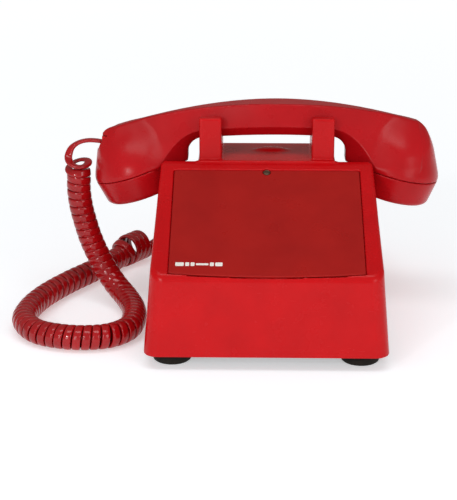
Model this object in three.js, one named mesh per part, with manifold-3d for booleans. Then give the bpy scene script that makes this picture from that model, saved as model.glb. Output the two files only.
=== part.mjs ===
// Traditional desk telephone without a dial: a wedge-shaped housing with a recessed blank
// faceplate, a handset lying in a four-post cradle, and a curly handset cord.
// Millimetres, +Z up, front faces -Y. The origin is under the middle of the telephone,
// on the surface that it stands on.
import * as THREE from 'three';
import { mergeVertices } from 'three/addons/utils/BufferGeometryUtils.js';
import Module from 'manifold-3d';

const wasm = await Module();
wasm.setup();

// ---------------------------------------------------------------- driving dimensions
const GAP = 0.3;               // between pieces that touch on the real object

// housing
const DEPTH = 216;             // front to back
const WIDTH_BOTTOM = 151;      // across the lower rim
const WIDTH_BEND = 142;        // across the fold between apron and slope
const WIDTH_RIDGE = 137.5;     // across the ridge above the faceplate
const FOOT_HEIGHT = 9;         // housing's lower rim above the table
const BEND_Z = 60;             // height of the fold
const BEND_SETBACK = 4;        // how far the fold lies behind the lower front edge
const RIDGE_Z = 106;           // height of the ridge and of the deck behind it
const RIDGE_Y = -12;           // front edge of the ridge
const RIDGE_THICK = 4;         // ridge, front to back
const REAR_Z = 71;             // rear shoulder, under the handset's cups
const REAR_EDGE_Z = 54;        // top of the back wall
const WALL = 3;                // moulded wall
const FACE_WALL = 4.8;         // wall under the faceplate recess
const CORNER_R = 9;            // upright corners

// cradle
const DECK_BACK_Y = 40;        // rear edge of the deck
const POST_X = 36.7;           // centre of a post
const POST_WIDE = 14.6;
const POST_THICK = 7.6;
const POST_Z = 133.5;          // top of a post
const SADDLE_Z = 120;          // block between a front and a rear post, before the handle is cut from it

// faceplate
const PLATE_WIDE = 119.2;
const PLATE_LONG = 93;         // along the slope
const PLATE_THICK = 1.5;
const PLATE_START = 2.6;       // from the fold, along the slope
const RECESS_DEEP = 2.1;
const PLATE_BOW = 2.6;         // how far the lower edge bulges towards the fold

// handset
const HANDSET_LONG = 229;
const HANDLE_Y = 15.3;         // centre line of the handset, front to back
const HANDLE_TOP_Z = 140.5;
const HANDLE_TOP_X = 7;        // where the arched back is highest
const ARCH_DROP = 18.8;        // how far the arched back falls towards its left end
const ARCH_SHORT = 9;          // from that end to the handset's end
const HANDLE_WIDE = 25.4;
const HANDLE_DEEP = 21.5;      // back to underside
const CUP_R = 28.1;            // at the seam between cup and cap
const SEAM_Z = { left: 95.2, right: 94.5 };   // centres of the seam circles
const CAP_R = 25;              // at the cap's face
const CAP_DEEP = 17.5;
const TILT = { left: 18.5, right: 13.5 };   // degrees, cups face down and inwards

// feet, base plate and fasteners
const FOOT_R = 12.2;
const FOOT_X = 58.5;
const FOOT_Y = 87;
const PLATE_Z = 9;             // underside of the base plate
const BASE_THICK = 1.6;
const RIM_CLEAR = 1;           // between the base plate and the housing's rim
const BOSS_X = 61;
const BOSS_Y = 62;
const BOSS_R = 4;
const SCREW_R = 1.5;

// hookswitch
const PLUNGER_R = 3.7;
const PLUNGER_FLOOR_Z = 87;    // lower end of a plunger
const COLLAR_RIM = 1.25;       // collar that stops a plunger, beyond its stem
const RUN = 0.35;              // running clearance of sliding and turning pieces
const PIVOT_Y = -8;
const PIVOT_Z = 83.5;
const PIN_R = 1.5;
const LEVER_HUB_R = 4;
const CHEEK_X = 27;            // middle of a bracket cheek
const CHEEK_THICK = 2;

// circuit board
const BOARD_Z = 20;
const BOARD_THICK = 1.6;
const BOARD_HALF = 53;
const BOARD_FRONT_Y = -88;
const BOARD_BACK_Y = -20;
const STANDOFF_R = 3;

// ringer
const GONG_R = 22;
const GONG_X = 25.5;
const GONG_Y = 66;
const GONG_Z = 40;             // rim height
const GONG_TALL = 12;
const GONG_WALL = 1.2;
const RINGER_PLATE = 2;        // floor of the ringer frame
const COIL_R = 9;
const COIL_TALL = 18;
const COIL_Y = 49.5;

// jacks and cord
const JACK_WIDE = 15;
const JACK_TALL = 13;
const JACK_DEEP = 15;
const JACK_Z = 19;
const HANDSET_JACK_X = -45.5;
const LINE_JACK_X = 40;
const PLUG_WIDE = 7.7;
const PLUG_TALL = 6.2;
const PLUG_LONG = 12.4;
const SOCKET_DEEP = 9;
const CUP_JACK_Z = 112.6;      // height of the jack in the handset's left end
const CUP_JACK_X = -110.4;     // its mouth
const CORD_WIDE = 5.2;         // flat cord
const CORD_THICK = 2.4;
const CURL_R = 8.2;            // outer radius of the curly stretch

// facets of round pieces
const RING_SIDES = 150;        // arcs as long as the handset
const CUP_SIDES = 32;

// ---------------------------------------------------------------- solids
const rad = THREE.MathUtils.degToRad;

// A closed geometry as a manifold solid, with its faces pointing out.
function solid(geometry) {
  const bare = geometry.clone();
  bare.deleteAttribute('normal');
  bare.deleteAttribute('uv');
  const merged = mergeVertices(bare, 1e-4);
  const xyz = merged.attributes.position.array;
  const at = (i) => new THREE.Vector3(xyz[3 * i], xyz[3 * i + 1], xyz[3 * i + 2]);
  const faces = [];
  let volume = 0;
  for (let i = 0; i < merged.index.count; i += 3) {
    const [a, b, c] = [0, 1, 2].map((k) => merged.index.getX(i + k));
    if (a === b || b === c || c === a) continue;
    faces.push([a, b, c]);
    volume += at(a).dot(at(b).cross(at(c)));
  }
  const turned = volume < 0 ? faces.map(([a, b, c]) => [a, c, b]) : faces;
  return new wasm.Manifold(new wasm.Mesh({
    numProp: 3,
    vertProperties: Float32Array.from(xyz),
    triVerts: Uint32Array.from(turned.flat()),
  }));
}

// A manifold solid as a geometry.
function geometryOf(body) {
  const mesh = body.getMesh();
  const geometry = new THREE.BufferGeometry();
  geometry.setAttribute('position', new THREE.BufferAttribute(mesh.vertProperties, 3));
  geometry.setIndex(new THREE.BufferAttribute(mesh.triVerts, 1));
  geometry.computeVertexNormals();
  return geometry;
}

const join = (...bodies) => bodies.reduce((a, b) => a.add(b));

function block(x0, x1, y0, y1, z0, z1) {
  const box = new THREE.BoxGeometry(x1 - x0, y1 - y0, z1 - z0);
  return solid(box.translate((x0 + x1) / 2, (y0 + y1) / 2, (z0 + z1) / 2));
}

// Upright cylinder, or one along X or Y.
function rod(r, from, to, [u, v], axis = 'z', sides = 20) {
  const cylinder = new THREE.CylinderGeometry(r, r, to - from, sides);
  const middle = (from + to) / 2;
  if (axis === 'z') return solid(cylinder.rotateX(Math.PI / 2).translate(u, v, middle));
  if (axis === 'x') return solid(cylinder.rotateZ(Math.PI / 2).translate(middle, u, v));
  return solid(cylinder.translate(u, middle, v));
}

// Profile of [radius, height] points turned about an upright axis.
function turned(profile, sides = 32) {
  const points = profile.map(([r, z]) => new THREE.Vector2(r, z));
  return new THREE.LatheGeometry(points, sides).rotateX(Math.PI / 2);
}

// Outline whose corners [u, v, radius] are rounded with short arcs.
function outline(corners, steps = 5) {
  const points = [];
  corners.forEach(([u, v, r = 0], i) => {
    const corner = new THREE.Vector2(u, v);
    if (r === 0) {
      points.push(corner);
      return;
    }
    const before = corners[(i + corners.length - 1) % corners.length];
    const after = corners[(i + 1) % corners.length];
    const back = new THREE.Vector2(before[0], before[1]).sub(corner).normalize();
    const ahead = new THREE.Vector2(after[0], after[1]).sub(corner).normalize();
    const half = Math.acos(THREE.MathUtils.clamp(back.dot(ahead), -1, 1)) / 2;
    const centre = back.clone().add(ahead).normalize().multiplyScalar(r / Math.sin(half)).add(corner);
    const start = back.clone().multiplyScalar(r / Math.tan(half)).add(corner).sub(centre);
    const end = ahead.clone().multiplyScalar(r / Math.tan(half)).add(corner).sub(centre);
    const turn = Math.atan2(start.cross(end), start.dot(end));
    for (let k = 0; k <= steps; k += 1) {
      const angle = (turn * k) / steps;
      points.push(start.clone().rotateAround(new THREE.Vector2(), angle).add(centre));
    }
  });
  return new THREE.Shape(points);
}

function extruded(shape, length) {
  return new THREE.ExtrudeGeometry(shape, { depth: length, bevelEnabled: false });
}

// Outline in (y, z), extruded along X.
function alongX(corners, x0, x1) {
  const turn = new THREE.Matrix4().makeBasis(
    new THREE.Vector3(0, 1, 0), new THREE.Vector3(0, 0, 1), new THREE.Vector3(1, 0, 0));
  return solid(extruded(outline(corners), x1 - x0).applyMatrix4(turn).translate(x0, 0, 0));
}

// Outline in (x, z), extruded along Y.
function alongY(corners, y0, y1) {
  const turn = new THREE.Matrix4().makeBasis(
    new THREE.Vector3(1, 0, 0), new THREE.Vector3(0, 0, 1), new THREE.Vector3(0, -1, 0));
  return solid(extruded(outline(corners), y1 - y0).applyMatrix4(turn).translate(0, y1, 0));
}

// Outline in (x, y), extruded along Z.
function alongZ(corners, z0, z1) {
  return solid(extruded(outline(corners), z1 - z0).translate(0, 0, z0));
}

function rectangle(x0, x1, y0, y1, r) {
  return [[x0, y0, r], [x1, y0, r], [x1, y1, r], [x0, y1, r]];
}

// Tube with a closed section along a smooth route.
function tube(section, route, steps) {
  const path = new THREE.CatmullRomCurve3(route.map((p) => new THREE.Vector3(...p)), false, 'centripetal');
  return solid(new THREE.ExtrudeGeometry(section, { steps, bevelEnabled: false, extrudePath: path }));
}

function oval(halfWide, halfTall, sides) {
  const points = [];
  for (let k = 0; k < sides; k += 1) {
    const angle = (2 * Math.PI * (k + 0.5)) / sides;
    points.push(new THREE.Vector2(halfWide * Math.cos(angle), halfTall * Math.sin(angle)));
  }
  return new THREE.Shape(points);
}

// ---------------------------------------------------------------- scene graph
const phone = new THREE.Group();
phone.name = 'desk_telephone';

const finishes = {
  redShell: { color: '#b51c22', roughness: 0.28, metalness: 0 },
  redPanel: { color: '#97201d', roughness: 0.35, metalness: 0 },
  redCord: { color: '#b3262c', roughness: 0.32, metalness: 0 },
  rubber: { color: '#2b261c', roughness: 0.85, metalness: 0 },
  blackPlastic: { color: '#1c1c1e', roughness: 0.5, metalness: 0 },
  clearPlastic: { color: '#d9d6cc', roughness: 0.25, metalness: 0 },
  whitePlastic: { color: '#dcd8cc', roughness: 0.45, metalness: 0 },
  steel: { color: '#9a9c9e', roughness: 0.4, metalness: 1 },
  paintedSteel: { color: '#34353a', roughness: 0.55, metalness: 0.3 },
  brass: { color: '#b08a4a', roughness: 0.35, metalness: 1 },
  copper: { color: '#9c5a32', roughness: 0.4, metalness: 1 },
  board: { color: '#3c5c34', roughness: 0.5, metalness: 0 },
};

function add(name, body, finish) {
  const mesh = new THREE.Mesh(geometryOf(body), new THREE.MeshStandardMaterial(finishes[finish]));
  mesh.name = name;
  phone.add(mesh);
}

// ---------------------------------------------------------------- shared places
const HALF_DEPTH = DEPTH / 2;
const ARCH_REACH = HANDSET_LONG / 2 - ARCH_SHORT + HANDLE_TOP_X;
const ARCH_R = (ARCH_REACH * ARCH_REACH + ARCH_DROP * ARCH_DROP) / (2 * ARCH_DROP);
const DECK_HALF = POST_X + PLUNGER_R + COLLAR_RIM + RUN + WALL;   // raised deck, clear of the plungers
const BEND_Y = BEND_SETBACK - HALF_DEPTH;
const slope = new THREE.Vector2(RIDGE_Y - BEND_Y, RIDGE_Z - BEND_Z);
const SLOPE_ANGLE = Math.atan2(slope.y, slope.x);
const INSIDE_FLOOR_Z = PLATE_Z + BASE_THICK;
const RINGER_FLOOR_Z = INSIDE_FLOOR_Z + GAP;
const signOf = { left: -1, right: 1 };

// Puts a solid made flat (X across, Y up the slope, Z outwards) on the slope.
function onSlope(geometry) {
  return geometry.rotateX(SLOPE_ANGLE).translate(0, BEND_Y, BEND_Z);
}

// Ring with the handle's section, turned about the centre of the arched back.
function handleRing(clear) {
  const half = HANDLE_WIDE / 2 + clear;
  const top = ARCH_R + clear;
  const bottom = ARCH_R - HANDLE_DEEP - clear;
  const section = [
    [top, -half + 1.2], [top, half - 1.2],
    [top - 1.6, half - 0.4], [ARCH_R - 14.5, half], [bottom, half / 2],
    [bottom, -half / 2], [ARCH_R - 14.5, -half], [top - 1.6, -half + 0.4], [top, -half + 1.2],
  ];
  const points = section.map(([r, y]) => new THREE.Vector2(r, y));
  const ring = new THREE.LatheGeometry(points, RING_SIDES);
  return solid(ring.translate(HANDLE_TOP_X, HANDLE_Y, HANDLE_TOP_Z - ARCH_R));
}

// Outside of a cup from its seam upwards, as [radius, height].
const cupProfile = [[CUP_R, GAP / 2], [CUP_R - 0.4, 3.2], [23.5, 12.3], [18.2, 22.5], [11.8, 30.4], [6, 36]];

// Frame of a cup: origin at the seam's centre, Z along the cup's axis away from its cap.
function cupFrame(side) {
  const tilt = rad(TILT[side]);
  const widest = cupProfile.map(([r, z]) => r * Math.cos(tilt) + z * Math.sin(tilt));
  const x = signOf[side] * (HANDSET_LONG / 2 - Math.max(...widest));
  const turn = new THREE.Matrix4().makeRotationY(signOf[side] * tilt);
  return new THREE.Matrix4().makeTranslation(x, HANDLE_Y, SEAM_Z[side]).multiply(turn);
}

const inCup = (side, geometry) => solid(geometry.applyMatrix4(cupFrame(side)));

// ---------------------------------------------------------------- housing
// Body between a side outline, a front outline and a plan outline, each drawn in by a wall.
function wedge(wall, faceWall, floorZ) {
  const ridgeBack = RIDGE_Y + RIDGE_THICK;
  const rise = faceWall / Math.cos(SLOPE_ANGLE);
  const r = wall > 0 ? 1 : 3;
  const side = wall > 0
    ? [
      [wall - HALF_DEPTH, floorZ], [BEND_Y + wall, BEND_Z - rise + wall * Math.tan(SLOPE_ANGLE)],
      [ridgeBack - wall - 2, RIDGE_Z - rise - 2 * Math.tan(SLOPE_ANGLE)],
      [ridgeBack - wall, REAR_Z - wall], [70, REAR_Z - 2 - wall],
      [HALF_DEPTH - wall, REAR_EDGE_Z - wall], [HALF_DEPTH - wall, floorZ],
    ]
    : [
      [-HALF_DEPTH, floorZ], [BEND_Y, BEND_Z, r], [RIDGE_Y, RIDGE_Z, r / 2],
      [ridgeBack, RIDGE_Z], [ridgeBack, REAR_Z, 2], [70, REAR_Z - 2, 12],
      [HALF_DEPTH, REAR_EDGE_Z, 9], [HALF_DEPTH, floorZ],
    ];
  const [bottom, bend, ridge] = [WIDTH_BOTTOM, WIDTH_BEND, WIDTH_RIDGE].map((w) => w / 2 - wall);
  const front = [
    [-bottom, floorZ], [bottom, floorZ], [bend, BEND_Z], [ridge, RIDGE_Z + 1], [-ridge, RIDGE_Z + 1],
    [-bend, BEND_Z],
  ];
  const plan = rectangle(-bottom, bottom, wall - HALF_DEPTH, HALF_DEPTH - wall, CORNER_R - wall);
  const body = alongX(side, -bottom - 5, bottom + 5);
  const across = alongY(front, -HALF_DEPTH - 5, HALF_DEPTH + 5);
  return body.intersect(across).intersect(alongZ(plan, floorZ - 5, RIDGE_Z + 10));
}

// Raised deck behind the ridge. Its hollow runs forward into the hollow of the wedge.
function pedestal(wall) {
  const half = DECK_HALF - wall;
  const foot = REAR_Z - 20;
  const top = RIDGE_Z - wall;
  const back = [[DECK_BACK_Y + 8 - wall, foot], [DECK_BACK_Y - wall, top, wall > 0 ? 0 : 3]];
  const front = wall > 0
    ? [[RIDGE_Y + 4, top], [RIDGE_Y - 12, top - 10], [RIDGE_Y - 12, foot]]
    : [[RIDGE_Y + 2, top], [RIDGE_Y + 2, foot]];
  return alongX([...back, ...front], -half, half);
}

// Grip for two fingers under the rear edge of the deck, for carrying the telephone.
const GRIP = { half: 31, front: 26, low: 78, high: 97 };

function grip(wall) {
  return block(-GRIP.half - wall, GRIP.half + wall, GRIP.front - wall, DECK_BACK_Y + 25,
    GRIP.low - wall, GRIP.high + wall);
}

function posts() {
  const [near, far] = [HANDLE_Y - HANDLE_WIDE / 2 - GAP, HANDLE_Y + HANDLE_WIDE / 2 + GAP];
  const parts = [];
  for (const sign of [-1, 1]) {
    const [x0, x1] = [sign * POST_X - POST_WIDE / 2, sign * POST_X + POST_WIDE / 2];
    parts.push(alongY([[x0, RIDGE_Z - 4], [x1, RIDGE_Z - 4], [x1, POST_Z, 1.5], [x0, POST_Z, 1.5]],
      near - POST_THICK, near));
    parts.push(alongY([[x0, RIDGE_Z - 4], [x1, RIDGE_Z - 4], [x1, POST_Z, 1.5], [x0, POST_Z, 1.5]],
      far, far + POST_THICK));
    parts.push(block(x0, x1, near - 1, far + 1, RIDGE_Z - 4, SADDLE_Z));
  }
  return join(...parts).subtract(handleRing(GAP + 0.1));
}

function bosses() {
  const parts = [];
  for (const x of [-BOSS_X, BOSS_X]) {
    for (const y of [-BOSS_Y, BOSS_Y]) {
      parts.push(rod(BOSS_R, INSIDE_FLOOR_Z + GAP, RIDGE_Z, [x, y], 'z', 16));
    }
  }
  return join(...parts);
}

function plateOutline(clear) {
  const half = PLATE_WIDE / 2 + clear;
  const top = PLATE_START + PLATE_LONG + clear;
  const bottom = PLATE_START - clear;
  const bowRadius = (half * half + PLATE_BOW * PLATE_BOW) / (2 * PLATE_BOW);
  const shape = new THREE.Shape();
  shape.moveTo(half, bottom + 1);
  shape.lineTo(half, top);
  shape.lineTo(-half, top);
  shape.lineTo(-half, bottom + 1);
  const spread = Math.asin(half / bowRadius);
  shape.absarc(0, bottom + 1 - PLATE_BOW + bowRadius, bowRadius,
    -Math.PI / 2 - spread, -Math.PI / 2 + spread, false);
  return shape;
}

const SCREW_UP = PLATE_START + PLATE_LONG - 1.6;   // faceplate screw, along the slope
const SCREW_SEAT_R = 2.6;
const SCREW_HEAD_R = SCREW_SEAT_R - GAP - 0.05;

const jackHole = (x, clear) => block(x - JACK_WIDE / 2 - clear, x + JACK_WIDE / 2 + clear,
  HALF_DEPTH - WALL - 2, HALF_DEPTH + 2, JACK_Z - JACK_TALL / 2 - clear, JACK_Z + JACK_TALL / 2 + clear);

function housing() {
  const outer = wedge(0, 0, FOOT_HEIGHT).add(pedestal(0)).subtract(grip(0));
  const inner = wedge(WALL, FACE_WALL, FOOT_HEIGHT - 4).add(pedestal(WALL)).subtract(grip(WALL));
  let shell = outer.subtract(inner).add(bosses().intersect(outer)).add(posts());
  const recess = onSlope(extruded(plateOutline(GAP), RECESS_DEEP + 4).translate(0, 0, -RECESS_DEEP));
  shell = shell.subtract(solid(recess));
  const seat = -RECESS_DEEP;
  const hole = turned([[0, -12], [SCREW_R, -12], [SCREW_R, seat], [SCREW_SEAT_R, seat],
    [SCREW_SEAT_R, 6], [0, 6]], 20);
  shell = shell.subtract(solid(onSlope(hole.translate(0, SCREW_UP, 0))));
  for (const sign of [-1, 1]) {
    shell = shell.subtract(rod(PLUNGER_R + RUN, RIDGE_Z - 12, SADDLE_Z + 2, [sign * POST_X, HANDLE_Y]));
    for (const y of [-BOSS_Y, BOSS_Y]) {
      shell = shell.subtract(rod(SCREW_R + GAP, FOOT_HEIGHT, FOOT_HEIGHT + 16, [sign * BOSS_X, y], 'z', 12));
    }
  }
  shell = shell.subtract(jackHole(HANDSET_JACK_X, GAP)).subtract(jackHole(LINE_JACK_X, GAP));
  return shell;
}

function faceplate() {
  const lift = -RECESS_DEEP + GAP;
  const plate = solid(onSlope(extruded(plateOutline(0), PLATE_THICK).translate(0, 0, lift)));
  const hole = new THREE.CylinderGeometry(SCREW_SEAT_R, SCREW_SEAT_R, 12, 20).rotateX(Math.PI / 2);
  return plate.subtract(solid(onSlope(hole.translate(0, SCREW_UP, 0))));
}

function faceplateScrew() {
  const head = turned([[0, -7], [1.2, -7], [1.2, -1.7], [SCREW_HEAD_R, -1.2], [SCREW_HEAD_R, -0.5],
    [SCREW_HEAD_R - 0.35, -0.2], [0, -0.2]], 20);
  const slot = new THREE.BoxGeometry(6, 0.7, 1).translate(0, SCREW_UP, 0);
  return solid(onSlope(head.translate(0, SCREW_UP, 0))).subtract(solid(onSlope(slot)));
}

// ---------------------------------------------------------------- base
const boardCorners = [-1, 1].flatMap((x) => [
  [x * (BOARD_HALF - 5), BOARD_FRONT_Y + 5], [x * (BOARD_HALF - 5), BOARD_BACK_Y - 5]]);

function basePlate() {
  const half = WIDTH_BOTTOM / 2 - WALL - RIM_CLEAR;
  const deep = HALF_DEPTH - WALL - RIM_CLEAR;
  let plate = alongZ(rectangle(-half, half, -deep, deep, CORNER_R - WALL), PLATE_Z, INSIDE_FLOOR_Z);
  for (const x of [-1, 1]) {
    for (const y of [-1, 1]) {
      plate = plate.subtract(rod(3.6, PLATE_Z - 1, INSIDE_FLOOR_Z + 1, [x * FOOT_X, y * FOOT_Y]));
      plate = plate.subtract(rod(SCREW_R + 0.5, PLATE_Z - 1, INSIDE_FLOOR_Z + 1, [x * BOSS_X, y * BOSS_Y]));
    }
  }
  for (const at of boardCorners) {
    const standoff = rod(STANDOFF_R, PLATE_Z + 0.5, BOARD_Z - GAP, at, 'z', 12);
    plate = plate.add(standoff).subtract(rod(1.5, INSIDE_FLOOR_Z, BOARD_Z, at, 'z', 10));
  }
  return plate;
}

function foot(x, y) {
  const top = PLATE_Z - GAP;
  const profile = [
    [0, 0], [FOOT_R - 2, 0], [FOOT_R - 0.6, 0.6], [FOOT_R, 2], [FOOT_R, top - 1], [FOOT_R - 1, top],
    [3.2, top], [3.2, INSIDE_FLOOR_Z + 0.6], [0, INSIDE_FLOOR_Z + 0.6],
  ];
  return solid(turned(profile, 24).translate(x, y, 0));
}

function baseScrew(x, y) {
  const top = PLATE_Z - GAP;
  const profile = [[0, top - 2], [2.4, top - 2], [3.2, top - 1], [3.2, top], [SCREW_R, top],
    [SCREW_R, top + 14], [0, top + 14]];
  const slot = block(x - 4, x + 4, y - 0.4, y + 0.4, top - 3, top - 1.2);
  return solid(turned(profile, 14).translate(x, y, 0)).subtract(slot);
}

// ---------------------------------------------------------------- hookswitch
// A plunger held down by the handle, so its top follows the handle's underside.
function plunger(sign) {
  const centre = [sign * POST_X, HANDLE_Y];
  const stem = rod(PLUNGER_R, PLUNGER_FLOOR_Z, SADDLE_Z + 3, centre, 'z', 20);
  const collar = rod(PLUNGER_R + COLLAR_RIM, PLUNGER_FLOOR_Z, PLUNGER_FLOOR_Z + 2, centre, 'z', 20);
  return join(stem, collar).subtract(handleRing(GAP + 0.05));
}

function hookLever() {
  const top = PLUNGER_FLOOR_Z - GAP;
  const barY = HANDLE_Y;
  const bar = block(-40, 40, barY - 3, barY + 3, top - 2.4, top);
  const webs = [-18, 18].map((x) => block(x - 3, x + 3, PIVOT_Y, barY, top - 2.4, top));
  const hub = rod(LEVER_HUB_R, -CHEEK_X + CHEEK_THICK / 2 + RUN, CHEEK_X - CHEEK_THICK / 2 - RUN,
    [PIVOT_Y, PIVOT_Z], 'x', 18);
  const tail = block(-7, 7, PIVOT_Y - 17, PIVOT_Y, PIVOT_Z - 1, PIVOT_Z + 1.4);
  const bore = rod(PIN_R + 0.08, -40, 40, [PIVOT_Y, PIVOT_Z], 'x', 18);
  return join(bar, ...webs, hub, tail).subtract(bore);
}

function hookBracket() {
  const cheeks = [-CHEEK_X, CHEEK_X].map((x) => alongX(
    [[PIVOT_Y - 6, INSIDE_FLOOR_Z + GAP], [PIVOT_Y + 6, INSIDE_FLOOR_Z + GAP], [PIVOT_Y + 6, PIVOT_Z + 6, 4],
      [PIVOT_Y - 6, PIVOT_Z + 6, 4]], x - CHEEK_THICK / 2, x + CHEEK_THICK / 2));
  const floor = block(-CHEEK_X - 10, CHEEK_X + 10, PIVOT_Y - 6, PIVOT_Y + 6, INSIDE_FLOOR_Z + GAP,
    INSIDE_FLOOR_Z + GAP + CHEEK_THICK);
  const shelf = block(-CHEEK_X, CHEEK_X, PIVOT_Y - 6, PIVOT_Y + 6, 62, 64);
  const bores = rod(PIN_R + GAP / 2, -CHEEK_X - 5, CHEEK_X + 5, [PIVOT_Y, PIVOT_Z], 'x', 18);
  return join(...cheeks, floor, shelf).subtract(bores);
}

function hookPin() {
  const end = CHEEK_X + CHEEK_THICK / 2 + 1.5;
  const shaft = rod(PIN_R - 0.02, -end, end + 1, [PIVOT_Y, PIVOT_Z], 'x', 18);
  return shaft.add(rod(PIN_R + 1, -end - 1, -end, [PIVOT_Y, PIVOT_Z], 'x', 18));
}

// Torsion spring wound round the lever's hub.
function hookSpring() {
  const coil = LEVER_HUB_R + 1.1;
  const route = [];
  const turns = 4;
  for (let k = 0; k <= turns * 8; k += 1) {
    const angle = (2 * Math.PI * k) / 8;
    route.push([8 + (k / 8) * 1.4, PIVOT_Y + coil * Math.sin(angle), PIVOT_Z + coil * Math.cos(angle)]);
  }
  return tube(oval(0.45, 0.45, 5), route, turns * 8);
}

function switchBlock() {
  return block(-12, 12, PIVOT_Y - 22, PIVOT_Y - 14, 64, 74)
    .add(block(-12, 12, PIVOT_Y - 15, PIVOT_Y - 6.3, 64, 67));
}

// Leaf contact: one foot in the block and three fingers that the lever's tail bends.
function switchLeaf() {
  const y = PIVOT_Y - 18;
  const fingers = [-7, 0, 7].map((x) => block(x - 2, x + 2, y - 0.25, y + 0.25, 75, 86));
  return join(block(-10, 10, y - 0.25, y + 0.25, 74 + GAP, 77), ...fingers);
}

// ---------------------------------------------------------------- circuit board
function circuitBoard() {
  const board = alongZ(rectangle(-BOARD_HALF, BOARD_HALF, BOARD_FRONT_Y, BOARD_BACK_Y, 2),
    BOARD_Z, BOARD_Z + BOARD_THICK);
  return boardCorners.reduce((b, at) => b.subtract(rod(1.6, BOARD_Z - 1, BOARD_Z + 4, at, 'z', 12)), board);
}

function boardScrew([x, y]) {
  const top = BOARD_Z + BOARD_THICK + GAP;
  const profile = [[0, top - 7], [1.1, top - 7], [1.1, top], [2.8, top], [2.8, top + 1.4], [0, top + 2]];
  return solid(turned(profile, 12).translate(x, y, 0));
}

const BOARD_TOP = BOARD_Z + BOARD_THICK + GAP;

function transformer() {
  const core = block(-32, -8, -70, -48, BOARD_TOP, BOARD_TOP + 18);
  return core.subtract(block(-28, -12, -75, -40, BOARD_TOP + 4, BOARD_TOP + 14));
}

function transformerWinding() {
  return rod(6.6, -71.5, -46.5, [-20, BOARD_TOP + 9], 'y', 18).intersect(
    block(-27.6, -12.4, -80, -30, BOARD_TOP + 4 + GAP, BOARD_TOP + 14 - GAP));
}

function capacitor(x, y, r, tall) {
  return solid(turned([[0, BOARD_TOP], [r, BOARD_TOP], [r, BOARD_TOP + tall - 1],
    [r - 0.8, BOARD_TOP + tall], [0, BOARD_TOP + tall]], 18).translate(x, y, 0));
}

function relay() {
  return alongZ(rectangle(6, 30, -58, -38, 1), BOARD_TOP, BOARD_TOP + 12);
}

function terminals() {
  const parts = [];
  for (let k = 0; k < 6; k += 1) {
    const x = -40 + 10 * k;
    parts.push(block(x - 4, x + 4, -34, -27, BOARD_TOP, BOARD_TOP + 4));
    parts.push(rod(2.2, BOARD_TOP + 3, BOARD_TOP + 7, [x, -30.5], 'z', 12));
  }
  parts.push(block(-44, 14, -35, -26, BOARD_TOP, BOARD_TOP + 2));
  return join(...parts);
}

// ---------------------------------------------------------------- ringer
function ringerFrame() {
  const z0 = RINGER_FLOOR_Z;
  const floor = alongZ(rectangle(-34, 34, 34, 88, 3), z0, z0 + RINGER_PLATE);
  const stemTop = GONG_Z + GONG_TALL - GONG_WALL - GAP;
  const stems = [-1, 1].map((s) => rod(3, z0, stemTop, [s * GONG_X, GONG_Y], 'z', 14)
    .subtract(rod(1.3, GONG_Z, GONG_Z + 20, [s * GONG_X, GONG_Y], 'z', 10)));
  const yoke = block(-10, 10, 36, 38, z0, 34).add(block(-10, 10, 36, 42, 32, 34));
  return join(floor, yoke, ...stems);
}

function ringerCoil() {
  const z0 = RINGER_FLOOR_Z + RINGER_PLATE + GAP;
  return rod(COIL_R, z0, z0 + COIL_TALL, [0, COIL_Y], 'z', 24);
}

function gong(sign, r) {
  const [z0, z1] = [GONG_Z, GONG_Z + GONG_TALL];
  const profile = [
    [r, z0], [r - 1.4, z0 + 5], [r - 9, z1], [2, z1], [2, z1 - GONG_WALL],
    [r - 9.4, z1 - GONG_WALL], [r - 2.6, z0 + 4.6], [r - GONG_WALL, z0], [r, z0],
  ];
  return solid(turned(profile, 26).translate(sign * GONG_X, GONG_Y, 0));
}

function gongScrew(sign) {
  const z = GONG_Z + GONG_TALL + GAP;
  const x = sign * GONG_X;
  const profile = [[0, z - 8], [1, z - 8], [1, z], [3.6, z], [3.6, z + 1.2], [2.6, z + 2], [0, z + 2]];
  const slot = block(x - 5, x + 5, GONG_Y - 0.4, GONG_Y + 0.4, z + 1.1, z + 3);
  return solid(turned(profile, 14).translate(x, GONG_Y, 0)).subtract(slot);
}

// Clapper: a hub on an upright pivot, a wire arm and a ball between the two gongs.
const CLAPPER = { y: 43, ball: 65, z: 42, floor: 34 };

function clapper() {
  const hub = rod(3, CLAPPER.floor + GAP, CLAPPER.z + 2, [0, CLAPPER.y - 3.5], 'z', 14).subtract(
    rod(1.1, 30, 50, [0, CLAPPER.y - 3.5], 'z', 12));
  const arm = rod(0.9, CLAPPER.y - 2, CLAPPER.ball, [0, CLAPPER.z], 'y', 8);
  const ball = solid(new THREE.SphereGeometry(2.3, 14, 8).translate(0, CLAPPER.ball, CLAPPER.z));
  return join(hub, arm, ball);
}

function clapperPin() {
  const [z, at] = [CLAPPER.z + 2 + GAP, [0, CLAPPER.y - 3.5]];
  return rod(1, CLAPPER.floor + 0.05, z, at, 'z', 12).add(rod(1.8, z, z + 1, at, 'z', 12));
}

// ---------------------------------------------------------------- jacks and plugs
function jack(x) {
  const [y0, y1] = [HALF_DEPTH - JACK_DEEP, HALF_DEPTH];
  const body = block(x - JACK_WIDE / 2, x + JACK_WIDE / 2, y0, y1,
    JACK_Z - JACK_TALL / 2, JACK_Z + JACK_TALL / 2);
  const [w, t] = [PLUG_WIDE / 2 + GAP, PLUG_TALL / 2 + GAP];
  return body.subtract(block(x - w, x + w, y1 - SOCKET_DEEP, y1 + 1, JACK_Z - t, JACK_Z + t))
    .subtract(block(x - 1.6, x + 1.6, y1 - SOCKET_DEEP, y1 + 1, JACK_Z - t - 1.8, JACK_Z));
}

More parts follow.
